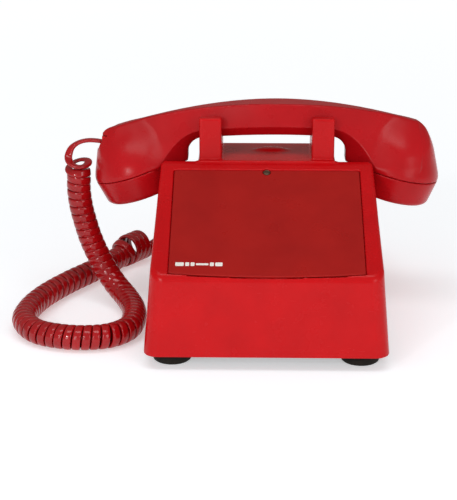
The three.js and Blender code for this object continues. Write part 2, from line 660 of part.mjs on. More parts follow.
function basePlug() {
  const y0 = HALF_DEPTH - SOCKET_DEEP + GAP;
  const x = HANDSET_JACK_X;
  return alongY(rectangle(x - PLUG_WIDE / 2, x + PLUG_WIDE / 2, JACK_Z - PLUG_TALL / 2,
    JACK_Z + PLUG_TALL / 2, 0.6), y0, y0 + PLUG_LONG);
}

const CUP_JACK = { long: 14, wide: 10.6, tall: 9 };

function cupJack() {
  const [x0, y, z] = [CUP_JACK_X + 1.4, HANDLE_Y, CUP_JACK_Z];
  const body = block(x0, x0 + CUP_JACK.long, y - CUP_JACK.wide / 2, y + CUP_JACK.wide / 2,
    z - CUP_JACK.tall / 2, z + CUP_JACK.tall / 2);
  return body.subtract(block(x0 - 1, x0 + PLUG_LONG, y - PLUG_WIDE / 2 - GAP, y + PLUG_WIDE / 2 + GAP,
    z - PLUG_TALL / 2 - GAP, z + PLUG_TALL / 2 + GAP));
}

function handsetPlug() {
  const x0 = CUP_JACK_X + 1.4;
  return block(x0, x0 + PLUG_LONG - GAP, HANDLE_Y - PLUG_WIDE / 2, HANDLE_Y + PLUG_WIDE / 2,
    CUP_JACK_Z - PLUG_TALL / 2, CUP_JACK_Z + PLUG_TALL / 2);
}

// ---------------------------------------------------------------- handset
function cup(side) {
  return inCup(side, turned([[0, GAP / 2], ...cupProfile, [0, 36]], CUP_SIDES));
}

// Threaded neck that the cap screws on to.
const NECK = { outer: 25.3, inner: 23.6, deep: 6 };

function neck(side) {
  return inCup(side, turned([[0, 1], [NECK.outer, 1], [NECK.outer, -NECK.deep], [0, -NECK.deep]], CUP_SIDES));
}

const CAVITY_TOP = 14;

function cavity(side) {
  return inCup(side, turned([[0, -NECK.deep - 1], [NECK.inner, -NECK.deep - 1], [NECK.inner, 3],
    [20.4, 11.8], [19, CAVITY_TOP], [0, CAVITY_TOP]], CUP_SIDES));
}

// Channel for the receiver's leads, on an arc from cup to cup.
const CHANNEL = { r: 3, drop: 15.5, top: 128, short: 30.5 };
const CHANNEL_REACH = HANDSET_LONG / 2 - CHANNEL.short;
const CHANNEL_ARC = (CHANNEL_REACH * CHANNEL_REACH + CHANNEL.drop * CHANNEL.drop) / (2 * CHANNEL.drop);

function leadRing(r, sides) {
  const circle = [];
  for (let k = 0; k <= sides; k += 1) {
    const angle = (2 * Math.PI * k) / sides;
    circle.push(new THREE.Vector2(CHANNEL_ARC + r * Math.cos(angle), r * Math.sin(angle)));
  }
  circle[sides].copy(circle[0]);
  return solid(new THREE.LatheGeometry(circle, RING_SIDES).translate(0, HANDLE_Y, CHANNEL.top - CHANNEL_ARC));
}

function handsetShell() {
  const reach = HANDSET_LONG / 2 - 14;
  const handle = handleRing(0).intersect(block(-reach, reach, -40, 70, 60, 200));
  const disc = new THREE.CylinderGeometry(ARCH_R, ARCH_R, 90, RING_SIDES);
  const under = solid(disc.translate(HANDLE_TOP_X, HANDLE_Y, HANDLE_TOP_Z - ARCH_R));
  let shell = join(handle, cup('left'), cup('right')).intersect(under);
  shell = join(shell, neck('left'), neck('right')).subtract(cavity('left')).subtract(cavity('right'));
  const channel = leadRing(CHANNEL.r, 12).intersect(block(-CHANNEL_REACH, CHANNEL_REACH, -40, 70, 60, 200));
  const [w, t] = [CUP_JACK.wide / 2 + GAP, CUP_JACK.tall / 2 + GAP];
  const pocket = block(-130, CUP_JACK_X + 1.4 + CUP_JACK.long + GAP, HANDLE_Y - w, HANDLE_Y + w,
    CUP_JACK_Z - t, CUP_JACK_Z + t);
  return shell.subtract(channel).subtract(pocket);
}

function cap(side, holes) {
  const w = -CAP_DEEP;
  const slant = (CUP_R - CAP_R) / CAP_DEEP;
  const profile = [
    [0, w + 1.2], [10, w + 0.8], [19.5, w + 0.2], [22.2, w], [CAP_R - 1, w + 0.3], [CAP_R, w + 1.6],
    [CUP_R - slant * 2, -2], [CUP_R, -GAP / 2], [NECK.outer + GAP, -GAP / 2],
    [NECK.outer + GAP, -NECK.deep - 0.6], [22.3, -NECK.deep - 0.6], [21.6, w + 3], [0, w + 3.6],
  ];
  let body = inCup(side, turned(profile, CUP_SIDES));
  holes.forEach(([ring, count, r]) => {
    for (let k = 0; k < count; k += 1) {
      const angle = (2 * Math.PI * (k + 0.5)) / count;
      const hole = new THREE.CylinderGeometry(r, r, 8, 8).rotateX(Math.PI / 2);
      hole.translate(ring * Math.cos(angle), ring * Math.sin(angle), w + 2);
      body = body.subtract(inCup(side, hole));
    }
  });
  return body;
}

function capsule(side) {
  const z0 = -CAP_DEEP + 3.6 + GAP;
  return inCup(side, turned([[0, z0], [16, z0], [17, z0 + 1], [21, z0 + 1], [21, z0 + 4.5], [14, z0 + 6.4],
    [0, z0 + 6.4]], 32));
}

function contactPlate(side) {
  return inCup(side, turned([[0, -5.2], [9, -5.2], [9, -3.4], [NECK.inner - GAP, -3.4],
    [NECK.inner - GAP, -1.8], [6, -1.8], [6, 1.5], [0, 1.5]], 32));
}

function receiverLeads() {
  return leadRing(1.2, 8).intersect(block(4 - CHANNEL_REACH, CHANNEL_REACH - 4, -40, 70, 60, 200));
}

// ---------------------------------------------------------------- cord routes
const leadRoute = [
  [CUP_JACK_X + 1.1, HANDLE_Y, CUP_JACK_Z], [-114.5, 15.3, 113.1], [-120, 15.1, 112.9], [-126, 14.5, 110.2],
  [-129.2, 13.6, 106], [-128.2, 12.6, 102.2], [-125.8, 12.1, 99.2],
];
const curlRoute = [
  [-125.4, 12, 97.6], [-125.3, 12, 90], [-125.6, 12, 80], [-124.4, 12, 68.5], [-121.8, 12, 57],
  [-118.6, 11.8, 45.8], [-114, 11, 34.7], [-108.5, 8.5, 24.5], [-101.5, 3, 15.8], [-94, -6, 10.4],
  [-88, -22, 8.5], [-86, -42, 8.4], [-88.5, -59, 8.4], [-99, -71, 8.4], [-114.5, -75, 8.4], [-130, -73, 8.4],
  [-146, -65, 8.4], [-156.6, -47, 8.4], [-156.6, -26, 8.4], [-150, -1, 8.4], [-137, 26.5, 8.4], [-124, 48, 8.4],
  [-115.5, 63, 8.4], [-107.5, 77, 8.8], [-99.5, 90.5, 10], [-91.5, 102.5, 11],
];
const tailRoute = [
  [-91.3, 102.8, 11], [-85.5, 110.5, 11.6], [-77, 118, 12.6], [-67, 123.5, 14.2], [-57, 125, 17],
  [-49.3, 122.3, 18.7], [-45.7, 118, 19],
  [HANDSET_JACK_X, HALF_DEPTH - SOCKET_DEEP + PLUG_LONG + 2 * GAP, 19],
];

// ---------------------------------------------------------------- assembly
add('housing', housing(), 'redShell');
add('faceplate', faceplate(), 'redPanel');
add('faceplate_screw', faceplateScrew(), 'steel');
add('base_plate', basePlate(), 'paintedSteel');
for (const [place, x, y] of [['front_left', -1, -1], ['front_right', 1, -1],
  ['rear_left', -1, 1], ['rear_right', 1, 1]]) {
  add(`foot_${place}`, foot(x * FOOT_X, y * FOOT_Y), 'rubber');
  add(`base_screw_${place}`, baseScrew(x * BOSS_X, y * BOSS_Y), 'steel');
}
add('plunger_left', plunger(-1), 'clearPlastic');
add('plunger_right', plunger(1), 'clearPlastic');
add('hookswitch_bracket', hookBracket(), 'steel');
add('hookswitch_lever', hookLever(), 'whitePlastic');
add('hookswitch_pin', hookPin(), 'steel');
add('hookswitch_spring', hookSpring(), 'steel');
add('switch_block', switchBlock(), 'blackPlastic');
add('switch_leaf', switchLeaf(), 'brass');
add('circuit_board', circuitBoard(), 'board');
boardCorners.forEach((at, i) => add(`board_screw_${i + 1}`, boardScrew(at), 'steel'));
add('line_transformer_core', transformer(), 'paintedSteel');
add('line_transformer_winding', transformerWinding(), 'copper');
add('line_capacitor', capacitor(20, -74, 6, 15), 'blackPlastic');
add('ringing_capacitor', capacitor(38, -70, 7, 18), 'blackPlastic');
add('line_relay', relay(), 'whitePlastic');
add('terminal_strip', terminals(), 'brass');
add('ringer_frame', ringerFrame(), 'steel');
add('ringer_coil', ringerCoil(), 'copper');
add('gong_left', gong(-1, GONG_R), 'brass');
add('gong_right', gong(1, GONG_R - 0.6), 'brass');
add('gong_screw_left', gongScrew(-1), 'steel');
add('gong_screw_right', gongScrew(1), 'steel');
add('clapper', clapper(), 'brass');
add('clapper_pin', clapperPin(), 'steel');
add('handset_cord_jack', jack(HANDSET_JACK_X), 'blackPlastic');
add('line_cord_jack', jack(LINE_JACK_X), 'blackPlastic');
add('handset_shell', handsetShell(), 'redShell');
add('transmitter_cap', cap('left', [[0, 1, 1.5], [9, 6, 1.5]]), 'redShell');
add('receiver_cap', cap('right', [[0, 1, 1.5], [7, 6, 1.5]]), 'redShell');
add('transmitter_capsule', capsule('left'), 'steel');
add('receiver_capsule', capsule('right'), 'blackPlastic');
add('transmitter_contact_plate', contactPlate('left'), 'blackPlastic');
add('receiver_contact_plate', contactPlate('right'), 'blackPlastic');
add('receiver_leads', receiverLeads(), 'blackPlastic');
add('handset_jack', cupJack(), 'blackPlastic');
add('cord_plug_handset', handsetPlug(), 'clearPlastic');
add('cord_lead_handset', tube(oval(CORD_THICK / 2, CORD_WIDE / 2, 8), leadRoute, 14), 'redCord');
add('curly_cord', tube(oval(CURL_R, CURL_R, 8), curlRoute, 46), 'redCord');
add('cord_lead_base', tube(oval(CORD_THICK / 2, CORD_WIDE / 2, 8), tailRoute, 14), 'redCord');
add('cord_plug_base', basePlug(), 'clearPlastic');

export default phone;
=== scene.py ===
"""Desk telephone without a dial, in red plastic, with its handset on the cradle and a curly cord."""

import math
import bmesh
import bpy
import numpy as np
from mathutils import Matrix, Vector


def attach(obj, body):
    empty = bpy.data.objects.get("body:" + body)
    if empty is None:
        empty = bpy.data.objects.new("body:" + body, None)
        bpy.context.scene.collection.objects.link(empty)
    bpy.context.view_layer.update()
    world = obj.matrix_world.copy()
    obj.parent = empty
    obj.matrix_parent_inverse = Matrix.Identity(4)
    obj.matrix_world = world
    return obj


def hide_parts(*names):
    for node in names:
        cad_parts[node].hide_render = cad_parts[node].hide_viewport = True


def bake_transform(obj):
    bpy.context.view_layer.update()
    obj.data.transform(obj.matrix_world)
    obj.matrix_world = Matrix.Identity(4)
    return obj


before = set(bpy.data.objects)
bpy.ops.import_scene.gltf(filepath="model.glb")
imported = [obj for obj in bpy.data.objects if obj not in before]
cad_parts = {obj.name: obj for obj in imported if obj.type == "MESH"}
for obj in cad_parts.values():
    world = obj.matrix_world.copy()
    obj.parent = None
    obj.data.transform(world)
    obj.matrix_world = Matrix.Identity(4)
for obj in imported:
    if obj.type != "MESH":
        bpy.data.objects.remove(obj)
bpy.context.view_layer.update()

MM = 0.001
FINE = 1.0

# ---------------------------------------------------------------- sizes, in mm
GAP = 0.3
HALF_DEPTH = 108
HALF_BOTTOM, HALF_BEND, HALF_RIDGE = 75.5, 71, 68.75
RIM_Z, BEND_Z, RIDGE_Z = 9, 60, 106
BEND_Y, RIDGE_Y, RIDGE_BACK_Y = -104, -12, -8
REAR_Z, REAR_BREAK, REAR_EDGE_Z = 71, (70, 69), 54
WALL, FACE_WALL = 3, 4.8
CORNER_R = 9
DECK_HALF, DECK_BACK_Y = 45, 40
GRIP_HALF, GRIP_LOW_Z, GRIP_HIGH_Z, GRIP_FRONT_Y = 31, 78, 97, 26
HUMP_X, HUMP_Y = 3, 20
HUMP_HALF, HUMP_REACH, HUMP_HIGH = 10.5, 5, 2
POST_X, POST_HALF, POST_THICK, POST_Z, SADDLE_Z = 36.7, 7.3, 7.6, 133.5, 120
PLATE_HALF, PLATE_START, PLATE_LONG, PLATE_THICK, PLATE_BOW = 59.6, 2.6, 93, 1.5, 2.6
RECESS_DEEP = 2.1
SCREW_UP = PLATE_START + PLATE_LONG - 1.6
SCREW_SEAT_R = 2.6
HANDLE_Y, ARCH_X, ARCH_R, ARCH_TOP = 15.3, 7, 346, 140.5
UNDER_R = 620  # radius of the handle's underside
HANDLE_HALF, HANDLE_DEEP, HANDLE_BELT = 12.7, 21.5, 14.5
COVE_X, COVE_R, COVE_LOW_Z = 52, 9, 101
HANDSET_HALF = 114.5
CUP_R, CAP_R, CAP_DEEP = 28.1, 25, 17.5
SEAM_Z = {"left": 95.2, "right": 94.5}
TILT = {"left": math.radians(18.5), "right": math.radians(13.5)}
SIGN = {"left": -1, "right": 1}
CUP_LINE = [(28.1, 0.15), (27.7, 3.2), (23.7, 12.3), (18.6, 22.5), (12.6, 30.6), (7, 36.2)]
DOME_TOP = 38.4
CREST_HALF, CREST_LESS, CREST_LONG = 9, 7, 96  # flat top of the handle, narrower towards its ends
BAR_SHORT = 16
CAP_EDGE_R, CAP_FLOOR, CAP_ROOM_R = 3.4, 3.4, 22.0
DISH_R, DISH_DEEP = 191.2, 1.2
ROOF_LEAN = 1.35  # how steeply the back slopes over the cups
NECK_R, NECK_INNER, NECK_DEEP = 25.3, 23.6, 6
HANDSET_JACK_X, HANDSET_JACK_Z = -94.7, 112.6
HANDSET_JACK_HALF_WIDE, HANDSET_JACK_HALF_TALL = 5.6, 4.8
PLUNGER_R, RUN = 3.7, 0.35
FOOT_X, FOOT_Y, FOOT_TOP = 58.5, 87, 8.7
JACKS = (-45.5, 40)
JACK_Z, JACK_HALF_WIDE, JACK_HALF_TALL = 19, 7.5, 6.5
CORD_WIDE, CORD_THICK, CURL_R, CURL_PITCH = 5.2, 2.4, 8.2, 5.35
SLOPE = math.atan2(RIDGE_Z - BEND_Z, RIDGE_Y - BEND_Y)

LEAD_ROUTE = [
    (-109.3, 15.3, 112.6), (-114.5, 15.3, 113.3), (-120, 15.1, 113.3), (-125.7, 14.7, 111.7),
    (-130.2, 13.6, 108.2),
]
CURL_ROUTE = [
    (-125.4, 12, 97.6), (-125.3, 12, 90), (-125.6, 12, 80), (-124.4, 12, 68.5), (-121.8, 12, 57),
    (-118.6, 11.8, 45.8), (-114, 11, 34.7), (-108.5, 8.5, 24.5), (-101.5, 3, 15.8),
    (-94, -6, 10.4), (-88, -22, 8.5), (-86, -42, 8.4), (-88.5, -59, 8.4), (-99, -71, 8.4),
    (-114.5, -75, 8.4), (-130, -73, 8.4), (-146, -65, 8.4), (-156.6, -47, 8.4),
    (-156.6, -26, 8.4), (-150, -1, 8.4), (-137, 26.5, 8.4), (-124, 48, 8.4), (-115.5, 63, 8.4),
    (-107.5, 77, 8.8), (-99.5, 90.5, 10), (-91.5, 102.5, 11),
]
TAIL_ROUTE = [
    (-77, 118, 12.6), (-67, 123.5, 14.2), (-57, 125, 17), (-49.3, 122.3, 18.7), (-45.7, 118, 19),
    (-45.5, 112, 19),
]

# ---------------------------------------------------------------- camera
CAMERA_AT = Vector((-0.0075, -0.9462, 0.3641))
CAMERA_TO = Vector((-0.02449, -0.030, 0.0521))
camera = bpy.data.objects.new("camera", bpy.data.cameras.new("camera"))
bpy.context.scene.collection.objects.link(camera)
camera.data.sensor_width = 36
camera.data.lens = 107.34
camera.data.clip_start = 0.05
camera.location = CAMERA_AT
camera.rotation_euler = (CAMERA_TO - CAMERA_AT).to_track_quat("-Z", "Y").to_euler()
bpy.context.scene.camera = camera


# ---------------------------------------------------------------- node materials
class Nodes:
    """Adds nodes to a material's tree by short calls."""

    def __init__(self, name):
        self.material = bpy.data.materials.new(name)
        self.material.use_nodes = True
        self.tree = self.material.node_tree
        self.shader = self.tree.nodes["Principled BSDF"]
        self.place = self.add("ShaderNodeTexCoord").outputs["Object"]

    def add(self, kind, inputs=(), **settings):
        node = self.tree.nodes.new(kind)
        for key, value in settings.items():
            setattr(node, key, value)
        for key, value in dict(inputs).items():
            self.feed(node.inputs[key], value)
        return node

    def feed(self, socket, value):
        if isinstance(value, bpy.types.NodeSocket):
            self.tree.links.new(value, socket)
        else:
            socket.default_value = value

    def stretched(self, scale):
        return self.add("ShaderNodeMapping", {"Vector": self.place, "Scale": scale}).outputs[0]

    def noise(self, scale, detail=2.0, rough=0.5, place=None):
        inputs = {"Vector": place or self.place, "Scale": scale, "Detail": detail, "Roughness": rough}
        return self.add("ShaderNodeTexNoise", inputs).outputs["Fac"]

    def ramp(self, value, low, high, to_low, to_high):
        inputs = {
            "Value": value, "From Min": low, "From Max": high, "To Min": to_low, "To Max": to_high,
        }
        return self.add("ShaderNodeMapRange", inputs).outputs["Result"]

    def math(self, operation, a, b=0.0):
        return self.add("ShaderNodeMath", {0: a, 1: b}, operation=operation).outputs[0]

    def mix(self, share, a, b):
        node = self.add("ShaderNodeMix", data_type="RGBA")
        self.feed(node.inputs["Factor"], share)
        for key, value in (("A", a), ("B", b)):
            socket = [s for s in node.inputs if s.name == key and s.type == "RGBA"][0]
            self.feed(socket, value)
        return [s for s in node.outputs if s.type == "RGBA"][0]

    def bump(self, height, depth, normal=None):
        inputs = {"Height": height, "Strength": 1.0, "Distance": depth}
        node = self.add("ShaderNodeBump", inputs)
        if normal is not None:
            self.feed(node.inputs["Normal"], normal)
        return node.outputs["Normal"]

    def edges(self, low, high):
        """From 0 to 1 where the surface turns outwards."""
        pointed = self.add("ShaderNodeNewGeometry").outputs["Pointiness"]
        return self.ramp(pointed, low, high, 0.0, 1.0)

    def finish(self, **inputs):
        for key, value in inputs.items():
            self.feed(self.shader.inputs[key.replace("_", " ")], value)
        return self.material


def rgb(text):
    """Linear colour of an sRGB hex text."""
    parts = [int(text[i : i + 2], 16) / 255 for i in (0, 2, 4)]
    return [(c / 12.92 if c <= 0.04045 else ((c + 0.055) / 1.055) ** 2.4) for c in parts] + [1.0]


def plastic(name, colour, dark, rough, grain=900.0, depth=0.000012, level=0.5, wear=0.35):
    """Moulded plastic: slight mottling, orange peel, hairline scratches and paler edges."""
    n = Nodes(name)
    mottled = n.mix(n.ramp(n.noise(38.0, 3.0), 0.35, 0.7, 0.0, 1.0), rgb(colour), rgb(dark))
    pale = [min(1.0, c * 1.35 + 0.02) for c in rgb(colour)[:3]] + [1.0]
    worn = n.math("MULTIPLY", n.edges(0.53, 0.62), n.ramp(n.noise(240.0), 0.4, 0.65, 0.0, wear))
    scratch = n.noise(1.0, 2.0, 0.4, n.stretched((160.0, 2600.0, 900.0)))
    lines = n.ramp(scratch, 0.66, 0.74, 0.0, 1.0)
    scuffs = n.math("MULTIPLY", lines, n.ramp(n.noise(21.0), 0.5, 0.7, 0.0, 1.0))
    smudge = n.ramp(n.noise(55.0, 4.0, 0.6), 0.3, 0.75, rough * 0.85, rough * 1.3)
    roughness = n.math("ADD", smudge, n.math("MULTIPLY", scuffs, 0.16))
    peel = n.bump(n.noise(grain, 2.0), depth)
    waves = n.bump(n.noise(70.0, 1.0), depth * 5, peel)
    return n.finish(
        Base_Color=n.mix(worn, mottled, pale), Roughness=roughness, Normal=waves,
        Specular_IOR_Level=level,
    )


def metal(name, colour, dark, rough, grain=(300.0, 300.0, 4000.0), depth=0.000006):
    """Metal with a brushed or plated grain and darker stains."""
    n = Nodes(name)
    streaks = n.noise(1.0, 3.0, 0.6, n.stretched(grain))
    stains = n.ramp(n.noise(110.0, 4.0, 0.65), 0.45, 0.75, 0.0, 1.0)
    return n.finish(
        Base_Color=n.mix(stains, rgb(colour), rgb(dark)), Metallic=1.0,
        Roughness=n.ramp(streaks, 0.3, 0.7, rough * 0.75, rough * 1.35), Normal=n.bump(streaks, depth),
    )


def rubber(name, colour, dark, rough):
    """Matt rubber with a pebbled skin and dust in its hollows."""
    n = Nodes(name)
    pebbles = n.noise(1900.0, 3.0, 0.6)
    dust = n.ramp(n.noise(160.0, 4.0, 0.6), 0.42, 0.72, 0.0, 0.8)
    return n.finish(
        Base_Color=n.mix(dust, rgb(dark), rgb(colour)),
        Roughness=n.ramp(pebbles, 0.3, 0.7, rough * 0.85, min(1.0, rough * 1.15)),
        Normal=n.bump(pebbles, 0.00006), Specular_IOR_Level=0.3,
    )


def laminate(name):
    """Green circuit board with a woven core showing through and faint copper runs."""
    n = Nodes(name)
    weave = n.add("ShaderNodeTexChecker", {"Vector": n.place, "Scale": 1400.0}).outputs["Fac"]
    runs = n.add(
        "ShaderNodeTexWave", {"Vector": n.place, "Scale": 55.0, "Distortion": 3.0, "Detail": 1.0}
    ).outputs["Fac"]
    green = n.mix(n.ramp(weave, 0.0, 1.0, 0.0, 0.25), rgb("3c5c34"), rgb("56733f"))
    return n.finish(
        Base_Color=n.mix(n.ramp(runs, 0.86, 0.9, 0.0, 0.6), green, rgb("6d8a4a")),
        Roughness=n.ramp(runs, 0.0, 1.0, 0.5, 0.38), Normal=n.bump(runs, 0.00003),
    )


def copper_wire(name):
    """Enamelled wire wound in close turns."""
    n = Nodes(name)
    turns = n.add(
        "ShaderNodeTexWave", {"Vector": n.place, "Scale": 620.0, "Distortion": 0.4}, bands_direction="Z"
    ).outputs["Fac"]
    return n.finish(
        Base_Color=n.mix(turns, rgb("5a2c16"), rgb("b06a3a")), Metallic=0.8,
        Roughness=n.ramp(turns, 0.0, 1.0, 0.5, 0.28), Normal=n.bump(turns, 0.0001),
    )


red_shell = plastic("red_shell", "c4080f", "b9070d", 0.24, level=0.18)
# painted shade: the handset is the same red plastic as the shell, given a darker red to stand for the
# shade that falls on it
handset_red_painted_shade = plastic("handset_red_painted_shade", "b40d15", "a90b12", 0.28, level=0.2)
red_panel = plastic("red_panel", "a61b17", "9c1815", 0.3, grain=600.0, level=0.12, wear=0.2)
red_cord = plastic("red_cord", "a80b11", "8c090d", 0.11, grain=1500.0, level=0.42, wear=0.15)
black_rubber = rubber("black_rubber", "1f170d", "120d07", 0.8)
black_plastic = plastic("black_plastic", "1c1c1e", "161618", 0.38, wear=0.5)
white_plastic = plastic("white_plastic", "dcd8cc", "cfc9ba", 0.4, wear=0.1)
white_print = plastic("white_print", "f2f0ea", "e4e1d8", 0.45, wear=0.1)
clear_plastic = plastic("clear_plastic", "d9d6cc", "cbc6b8", 0.22, wear=0.1)
steel = metal("plated_steel", "a8aaab", "8a8a86", 0.32)
screw_steel = metal("screw_steel", "7a6654", "4c3f34", 0.5, depth=0.00001)
painted_steel = rubber("painted_steel", "3d3e44", "2c2d31", 0.5)
brass = metal("brass", "b9924f", "8a6a35", 0.3)
copper = copper_wire("copper_wire")
board = laminate("board")

FINISH = {
    "red_shell": red_shell, "handset_red_painted_shade": handset_red_painted_shade, "red_panel": red_panel, "red_cord": red_cord,
    "black_rubber": black_rubber, "black_plastic": black_plastic, "white_plastic": white_plastic,
    "clear_plastic": clear_plastic, "plated_steel": steel, "screw_steel": screw_steel,
    "painted_steel": painted_steel, "brass": brass, "copper_wire": copper, "board": board,
}
SCREWS = ("base_screw", "faceplate_screw", "gong_screw", "board_screw")
NODE_FINISH = {
    "housing": "red_shell", "faceplate": "red_panel", "base_plate": "painted_steel",
    "foot": "black_rubber", "plunger": "clear_plastic", "hookswitch": "plated_steel",
    "hookswitch_lever": "white_plastic", "switch_block": "black_plastic",
    "switch_leaf": "brass", "circuit_board": "board", "line_transformer_core": "painted_steel",
    "line_transformer_winding": "copper_wire", "line_capacitor": "black_plastic",
    "ringing_capacitor": "white_plastic", "line_relay": "clear_plastic",
    "terminal_strip": "white_plastic", "ringer_frame": "plated_steel",
    "ringer_coil": "copper_wire", "gong": "brass", "clapper": "plated_steel",
    "handset_cord_jack": "black_plastic", "line_cord_jack": "black_plastic",
    # handset shell and caps take the shell's red painted darker as shade
    "handset_shell": "handset_red_painted_shade", "transmitter": "white_plastic", "receiver": "white_plastic",
    "transmitter_cap": "handset_red_painted_shade", "receiver_cap": "handset_red_painted_shade",
    "transmitter_capsule": "plated_steel", "receiver_capsule": "plated_steel",
    "transmitter_contact": "white_plastic", "receiver_contact": "white_plastic",
    "receiver_leads": "red_cord", "handset_jack": "red_shell", "cord_plug": "clear_plastic",
    "cord_lead": "red_cord", "curly_cord": "red_cord",
}


def finish_of(node):
    """Material of a carried-over CAD node: the longest key that its name starts with."""
    if node.startswith(SCREWS):
        return FINISH["screw_steel"]
    return FINISH[NODE_FINISH[max((k for k in NODE_FINISH if node.startswith(k)), key=len)]]


for cad_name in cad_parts:
    cad_piece = bpy.data.objects[cad_name]
    cad_piece.data.materials.clear()
    cad_piece.data.materials.append(finish_of(cad_name))


# ---------------------------------------------------------------- meshes
def piece(name, verts, faces, material, body, nodes=(), normals=None):
    """Mesh from points in mm, riding on a body and standing for CAD nodes."""
    mesh = bpy.data.meshes.new(name)
    points = np.asarray(verts, float) * MM
    if isinstance(faces, np.ndarray):
        mesh.vertices.add(len(points))
        mesh.vertices.foreach_set("co", points.ravel().astype(np.float32))
        mesh.loops.add(faces.size)
        mesh.loops.foreach_set("vertex_index", faces.ravel().astype(np.int32))
        mesh.polygons.add(len(faces))
        mesh.polygons.foreach_set("loop_start", np.arange(0, faces.size, faces.shape[1], dtype=np.int32))
        mesh.update(calc_edges=True)
    else:
        mesh.from_pydata(points.tolist(), [], faces)
        mesh.update()
    mesh.polygons.foreach_set("use_smooth", [True] * len(mesh.polygons))
    if normals is not None:
        mesh.normals_split_custom_set_from_vertices(np.asarray(normals, np.float32).tolist())
    mesh.materials.append(material)
    obj = bpy.data.objects.new(name, mesh)
    bpy.context.scene.collection.objects.link(obj)
    if body:
        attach(obj, body)
    if nodes:
        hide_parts(*nodes)
    return obj


# ---------------------------------------------------------------- cord
def spline(points, count):
    """Centripetal Catmull-Rom curve through points, count samples evenly spaced along it."""
    p = np.asarray(points, float)
    p = np.vstack([2 * p[0] - p[1], p, 2 * p[-1] - p[-2]])
    out = []
    for i in range(1, len(p) - 2):
        d = [max(np.linalg.norm(p[i + k] - p[i + k - 1]) ** 0.5, 1e-6) for k in (0, 1, 2)]
        t1 = (p[i] - p[i - 1]) / d[0] - (p[i + 1] - p[i - 1]) / (d[0] + d[1]) + (p[i + 1] - p[i]) / d[1]
        t2 = (p[i + 1] - p[i]) / d[1] - (p[i + 2] - p[i]) / (d[1] + d[2]) + (p[i + 2] - p[i + 1]) / d[2]
        t1, t2 = t1 * d[1], t2 * d[1]
        for u in np.linspace(0, 1, 24, endpoint=False):
            a, b = 2 * u**3 - 3 * u**2 + 1, u**3 - 2 * u**2 + u
            c, e = -2 * u**3 + 3 * u**2, u**3 - u**2
            out.append(a * p[i] + b * t1 + c * p[i + 1] + e * t2)
    out.append(p[-2])
    return resampled(np.array(out), count)


def distance_along(line):
    """How far along a line each of its points lies."""
    return np.concatenate([[0], np.cumsum(np.linalg.norm(np.diff(line, axis=0), axis=1))])


def resampled(line, count):
    """The same line as count points evenly spaced along it."""
    run = distance_along(line)
    at = np.linspace(0, run[-1], count)
    return np.stack([np.interp(at, run, line[:, k]) for k in range(line.shape[1])], axis=1)


def unit(v):
    """Vectors of length 1 in the same directions."""
    return v / np.maximum(np.linalg.norm(v, axis=-1, keepdims=True), 1e-9)


def smooth_step(t):
    """From 0 to 1 as t goes from 0 to 1, level at both ends."""
    t = np.clip(t, 0, 1)
    return t * t * (3 - 2 * t)


def carried_frame(line, first):
    """Directions square to a line, turning as little as they can along it."""
    tangent = unit(np.gradient(line, axis=0))
    side = np.empty_like(line)
    side[0] = unit(first - tangent[0] * (first @ tangent[0]))
    for i in range(1, len(line)):
        side[i] = unit(side[i - 1] - tangent[i] * (side[i - 1] @ tangent[i]))
    return tangent, side, np.cross(tangent, side)


CURL_ABOVE = 5.5  # how far over the route's first point the coil starts
LOOSE_START_LONG, LOOSE_START_PITCH, LOOSE_START_R, LOOSE_START_DIP = 13, 3.5, 0.3, 3.6
LOOSE_END_LONG, LOOSE_END_RISE, LOOSE_END_R = 26, 9, 3.2
OPEN_BEND_FROM, OPEN_BEND_TO, OPEN_BEND_RISE, OPEN_BEND_PITCH = 250, 340, 40, 1.6
UPRIGHT_FROM, UPRIGHT_RISE = 5, 7  # where the flat lead turns into the coil's edge-on winding


def curl():
    """Centreline of the curly stretch, and the direction across the flat cord at each point of it."""
    axis = spline(CURL_ROUTE, 6000)
    above = np.linspace(CURL_ABOVE, 0, 60, endpoint=False)[:, None] * [0.0, 0.0, 1.0]
    axis = np.vstack([axis[:1] + above, axis])
    along = distance_along(axis)
    loose_start = 1 - smooth_step(along / LOOSE_START_LONG)
    loose_end = smooth_step((along - along[-1] + LOOSE_END_LONG) / LOOSE_END_RISE)
    open_bend = smooth_step((along - OPEN_BEND_FROM) / OPEN_BEND_RISE)
    open_bend = open_bend * (1 - smooth_step((along - OPEN_BEND_TO) / OPEN_BEND_RISE))
    pitch = CURL_PITCH + LOOSE_START_PITCH * loose_start + OPEN_BEND_PITCH * open_bend
    turn = np.concatenate([[0], np.cumsum(0.5 * (1 / pitch[1:] + 1 / pitch[:-1]) * np.diff(along))])
    radius = CURL_R - CORD_THICK / 2 - LOOSE_START_R * loose_start + LOOSE_END_R * loose_end
    axis[:, 2] = np.maximum(axis[:, 2], radius + CORD_THICK / 2 + 0.1)
    tangent, side, over = carried_frame(axis, np.array([-1.0, 0.0, 0.0]))
    angle = -2 * math.pi * turn
    out = side * np.cos(angle)[:, None] + over * np.sin(angle)[:, None]
    helix = axis + out * radius[:, None]
    helix[:, 2] += LOOSE_START_DIP * loose_start * out[:, 1]
    upright = smooth_step((along - UPRIGHT_FROM) / UPRIGHT_RISE)[:, None]
    return helix, unit(tangent * upright + out * (1 - upright))


